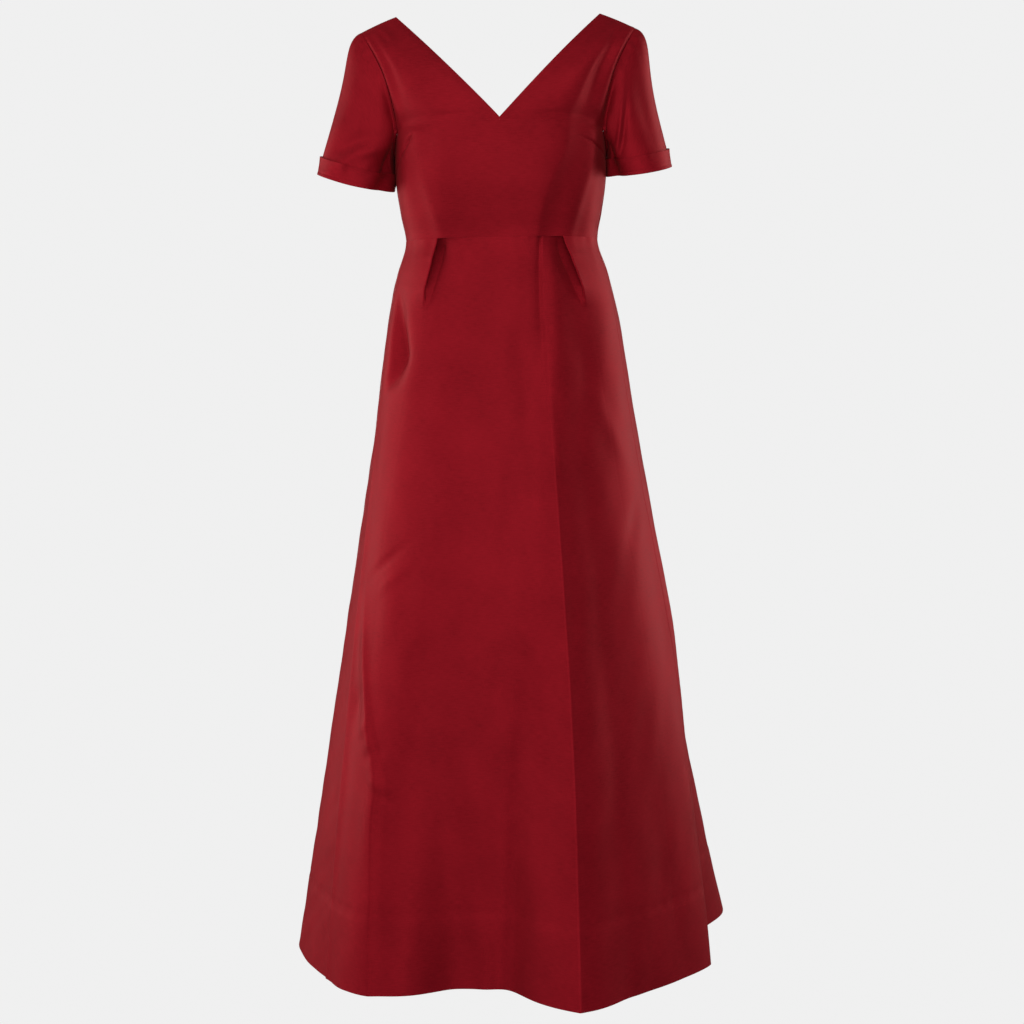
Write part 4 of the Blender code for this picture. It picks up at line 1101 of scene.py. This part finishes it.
class Finish:
    """A material with its Principled BSDF. Numbers the same all over go in as keywords."""

    def __init__(self, name, constants):
        self.material = bpy.data.materials.new(name)
        self.material.use_nodes = True
        self.tree = self.material.node_tree
        self.surface = self.tree.nodes["Principled BSDF"]
        for socket, value in constants.items():
            self.surface.inputs[socket].default_value = value

    def add(self, kind, settings=None, values=None, output=0):
        """Adds a node of a kind, makes its settings and sets or links its sockets."""
        node = self.tree.nodes.new("ShaderNode" + kind)
        for setting, value in (settings or {}).items():
            setattr(node, setting, value)
        for socket, value in (values or {}).items():
            self.join(value, node.inputs[socket])
        return Wire(self, node.outputs[output])

    def join(self, value, socket):
        """Links a wire to a socket, or sets the socket to a number or a colour."""
        if isinstance(value, Wire):
            self.tree.links.new(value.socket, socket)
        else:
            socket.default_value = value

    def give(self, socket, value):
        """Feeds one of the surface's own sockets."""
        self.join(value, self.surface.inputs[socket])

    def mix(self, share, first, second):
        """A colour between two others."""
        return self.add("Mix", {"data_type": "RGBA"}, {0: share, 6: first, 7: second}, output=2)

    def noise(self, vector, scale, detail, roughness):
        """Soft noise from 0 to 1, about 0.5 in the middle."""
        return self.add("TexNoise", {}, {"Vector": vector, "Scale": scale, "Detail": detail,
                                         "Roughness": roughness})


print("finishes are built from:", Finish.__name__)


# %% The silk
SILK = (0.330, 0.0088, 0.0175, 1.0)
SILK_DEEP = (0.222, 0.0054, 0.0112, 1.0)


def silk_finish(name, light, deep, rib=0.0011):
    """Ribbed silk: height = 0.6 * (a sine of the length down the cloth, whose phase the slubs
    shift) + 0.8 * slubs + 0.3 * single threads, all from the weave's UV lengths in metres."""
    silk = Finish(name, {"Metallic": 0.28, "Specular IOR Level": 0.06,
                         "Specular Tint": (1.0, 0.40, 0.36, 1.0), "Sheen Weight": 0.05,
                         "Sheen Roughness": 0.45, "Sheen Tint": (1.0, 0.35, 0.30, 1.0)})
    weave = silk.add("UVMap", {"uv_map": "weave"})
    across = silk.add("SeparateXYZ", {}, {0: weave})
    down = Wire(silk, across.socket.node.outputs["Y"])
    streaks = silk.add("CombineXYZ", {}, {0: across * 90.0, 1: down * 620.0})
    slub = silk.noise(streaks, 1.0, 2.0, 0.5)
    threads = silk.add("CombineXYZ", {}, {0: across * 1600.0, 1: down * 160.0})
    thread = silk.noise(threads, 1.0, 1.0, 0.5)
    place = silk.add("TexCoord", output=3)
    cloudy = silk.noise(place, 14.0, 3.0, 0.6)
    ribs = (down * (6.2832 / rib) + slub * 1.6).sine() * 0.5 + 0.5
    shade = ((slub - 0.5) * 1.3 + (thread - 0.5) * 0.8 + (cloudy - 0.5) * 1.2 + ribs * 0.10
             + 0.5).clipped()
    silk.give("Base Color", silk.mix(shade, deep, light))
    silk.give("Roughness", slub * 0.10 + cloudy * 0.06 + 0.44)
    height = ribs * 0.6 + slub * 0.8 + thread * 0.3
    silk.give("Normal", silk.add("Bump", {}, {"Strength": 0.30, "Distance": 0.00012,
                                              "Height": height}))
    return silk.material


silk_cloth = silk_finish("ribbed_silk", SILK, SILK_DEEP)
tape_cloth = silk_finish("zip_tape_weave", (0.120, 0.006, 0.010, 1.0), (0.080, 0.004, 0.007, 1.0),
                         0.0009)
for node, piece in PIECES.items():
    piece.data.materials.append(tape_cloth if node == "zip_tape" else silk_cloth)
print("cloth pieces finished:", len(PIECES))


# %% The zip's teeth, slider and pull tab
def enamel_finish(name, colour, metal, rough):
    """Dyed enamel on small castings: nearly even, with light wear seen in its roughness."""
    enamel = Finish(name, {"Metallic": metal, "Coat Weight": 0.35, "Coat Roughness": 0.22})
    place = enamel.add("TexCoord", output=3)
    wear = enamel.noise(place, 900.0, 3.0, 0.6)
    pale = tuple(min(1.0, 1.6 * value) for value in colour[:3]) + (1.0,)
    enamel.give("Base Color", enamel.mix(((wear - 0.52) * 5.0).clipped() * 0.5, colour, pale))
    enamel.give("Roughness", wear * 0.2 + rough)
    enamel.give("Normal", enamel.add("Bump", {}, {"Strength": 0.2, "Distance": 0.00005,
                                                  "Height": wear}))
    return enamel.material


teeth.data.materials.append(enamel_finish("zip_teeth_nylon", (0.10, 0.006, 0.010, 1.0), 0.0, 0.35))
metal = enamel_finish("zip_enamel", (0.26, 0.018, 0.026, 1.0), 0.6, 0.28)
for node in ("zip_slider", "zip_pull_tab"):
    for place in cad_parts[node].material_slots:
        place.material = metal
print("zip finished")

# %% [markdown]
# ## The room
# A plain pale floor and soft light, as in a studio with white screens all round. The floor gives
# its own even light and only the camera sees it, so it throws no red back at the gown. A broad
# panel at each side makes the pale flanks, the ones in front keep the middle an even red, and weak
# ones above, below and behind lift what would else be black.


# %% The floor
FLOOR_REACH, FLOOR_BELOW = 14.0, 0.004
PALE = (0.87, 0.87, 0.87, 1.0)


def stage_floor():
    """A wide level square just under the hem."""
    side = np.linspace(-FLOOR_REACH, FLOOR_REACH, 3)
    x, y = np.meshgrid(side, side)
    points = np.stack([x, y, np.full(x.shape, -HEM - FLOOR_BELOW)], -1).reshape(-1, 3)
    mesh = bpy.data.meshes.new("floor")
    mesh.from_pydata(points, [], [(0, 1, 4, 3), (1, 2, 5, 4), (3, 4, 7, 6), (4, 5, 8, 7)])
    floor = bpy.data.objects.new("floor", mesh)
    bpy.context.scene.collection.objects.link(floor)
    pale = Finish("pale_floor", {"Base Color": (0.0, 0.0, 0.0, 1.0), "Roughness": 1.0,
                                 "Specular IOR Level": 0.0, "Emission Strength": 1.0,
                                 "Emission Color": PALE})
    mesh.materials.append(pale.material)
    floor.visible_diffuse = floor.visible_glossy = floor.visible_shadow = False


stage_floor()
print("floor at:", -HEM - FLOOR_BELOW, "m")

# %% The lights
LIGHT_DISTANCE = 3.4
GOWN_MIDDLE = np.array([0.0, 0.0, -0.65])
PANELS = (
    # name, turn and rise in degrees, width and height in metres, power in watts
    ("side_light_right_hand", -110, 6, (2.8, 2.6), 66),
    ("near_side_light", -68, 4, (1.4, 2.0), 24),
    ("front_light", 2, 8, (2.6, 2.6), 46),
    ("near_light", -40, 30, (1.4, 1.9), 13),
    ("side_light_left_hand", 116, 9, (2.6, 2.6), 72),
    ("back_light", 180, 10, (2.4, 2.4), 42),
    ("top_light", 5, 58, (2.6, 1.8), 26),
    ("low_light", 0, -22, (1.6, 1.2), 7),
)


def area_light(name, turn, rise, size, power):
    """A soft panel some way from the gown, turned from the front towards the wearer's left and
    raised by so many degrees, facing the gown's middle."""
    turn, rise = np.radians(turn), np.radians(rise)
    away = np.array([np.sin(turn) * np.cos(rise), -np.cos(turn) * np.cos(rise), np.sin(rise)])
    right = unit(np.cross([0.0, 0.0, 1.0], away))
    stand = np.eye(4)
    stand[:3, :3] = np.stack([right, np.cross(away, right), away], 1)
    stand[:3, 3] = away * LIGHT_DISTANCE + GOWN_MIDDLE
    lamp = bpy.data.lights.new(name, "AREA")
    lamp.shape, lamp.size, lamp.size_y, lamp.energy = "RECTANGLE", size[0], size[1], power
    thing = bpy.data.objects.new(name, lamp)
    thing.matrix_world = Matrix(stand.tolist())
    bpy.context.scene.collection.objects.link(thing)


for panel in PANELS:
    area_light(*panel)
print("soft panels:", len(PANELS))

# %% The surround: pale to the camera, and nearly dark to the cloth
world = bpy.data.worlds.new("surround")
world.use_nodes = True
sky = world.node_tree.nodes["Background"]
sky.inputs["Color"].default_value = PALE
seen = world.node_tree.nodes.new("ShaderNodeLightPath").outputs["Is Camera Ray"]
share = world.node_tree.nodes.new("ShaderNodeMapRange")
share.inputs["To Min"].default_value, share.inputs["To Max"].default_value = 0.03, 1.0
world.node_tree.links.new(seen, share.inputs["Value"])
world.node_tree.links.new(share.outputs["Result"], sky.inputs["Strength"])
bpy.context.scene.world = world
bpy.context.scene.view_settings.view_transform = "Standard"
print("strength of the surround's light on the cloth:",
      round(share.inputs["To Min"].default_value, 3))

# %% The camera: at the height of the hips, tipped a few degrees down
lens = bpy.data.cameras.new("camera")
lens.sensor_width, lens.lens = 36.0, 63.1
camera = bpy.data.objects.new("camera", lens)
tilt = Matrix.Rotation(np.radians(84.7), 3, "X") @ Matrix.Rotation(np.radians(-1.0), 3, "Z")
camera.rotation_euler = tilt.to_euler()
camera.location = (0.008, -2.70, -0.4847)
bpy.context.scene.collection.objects.link(camera)
bpy.context.scene.camera = camera
print("camera stands", -camera.location.y, "m in front")
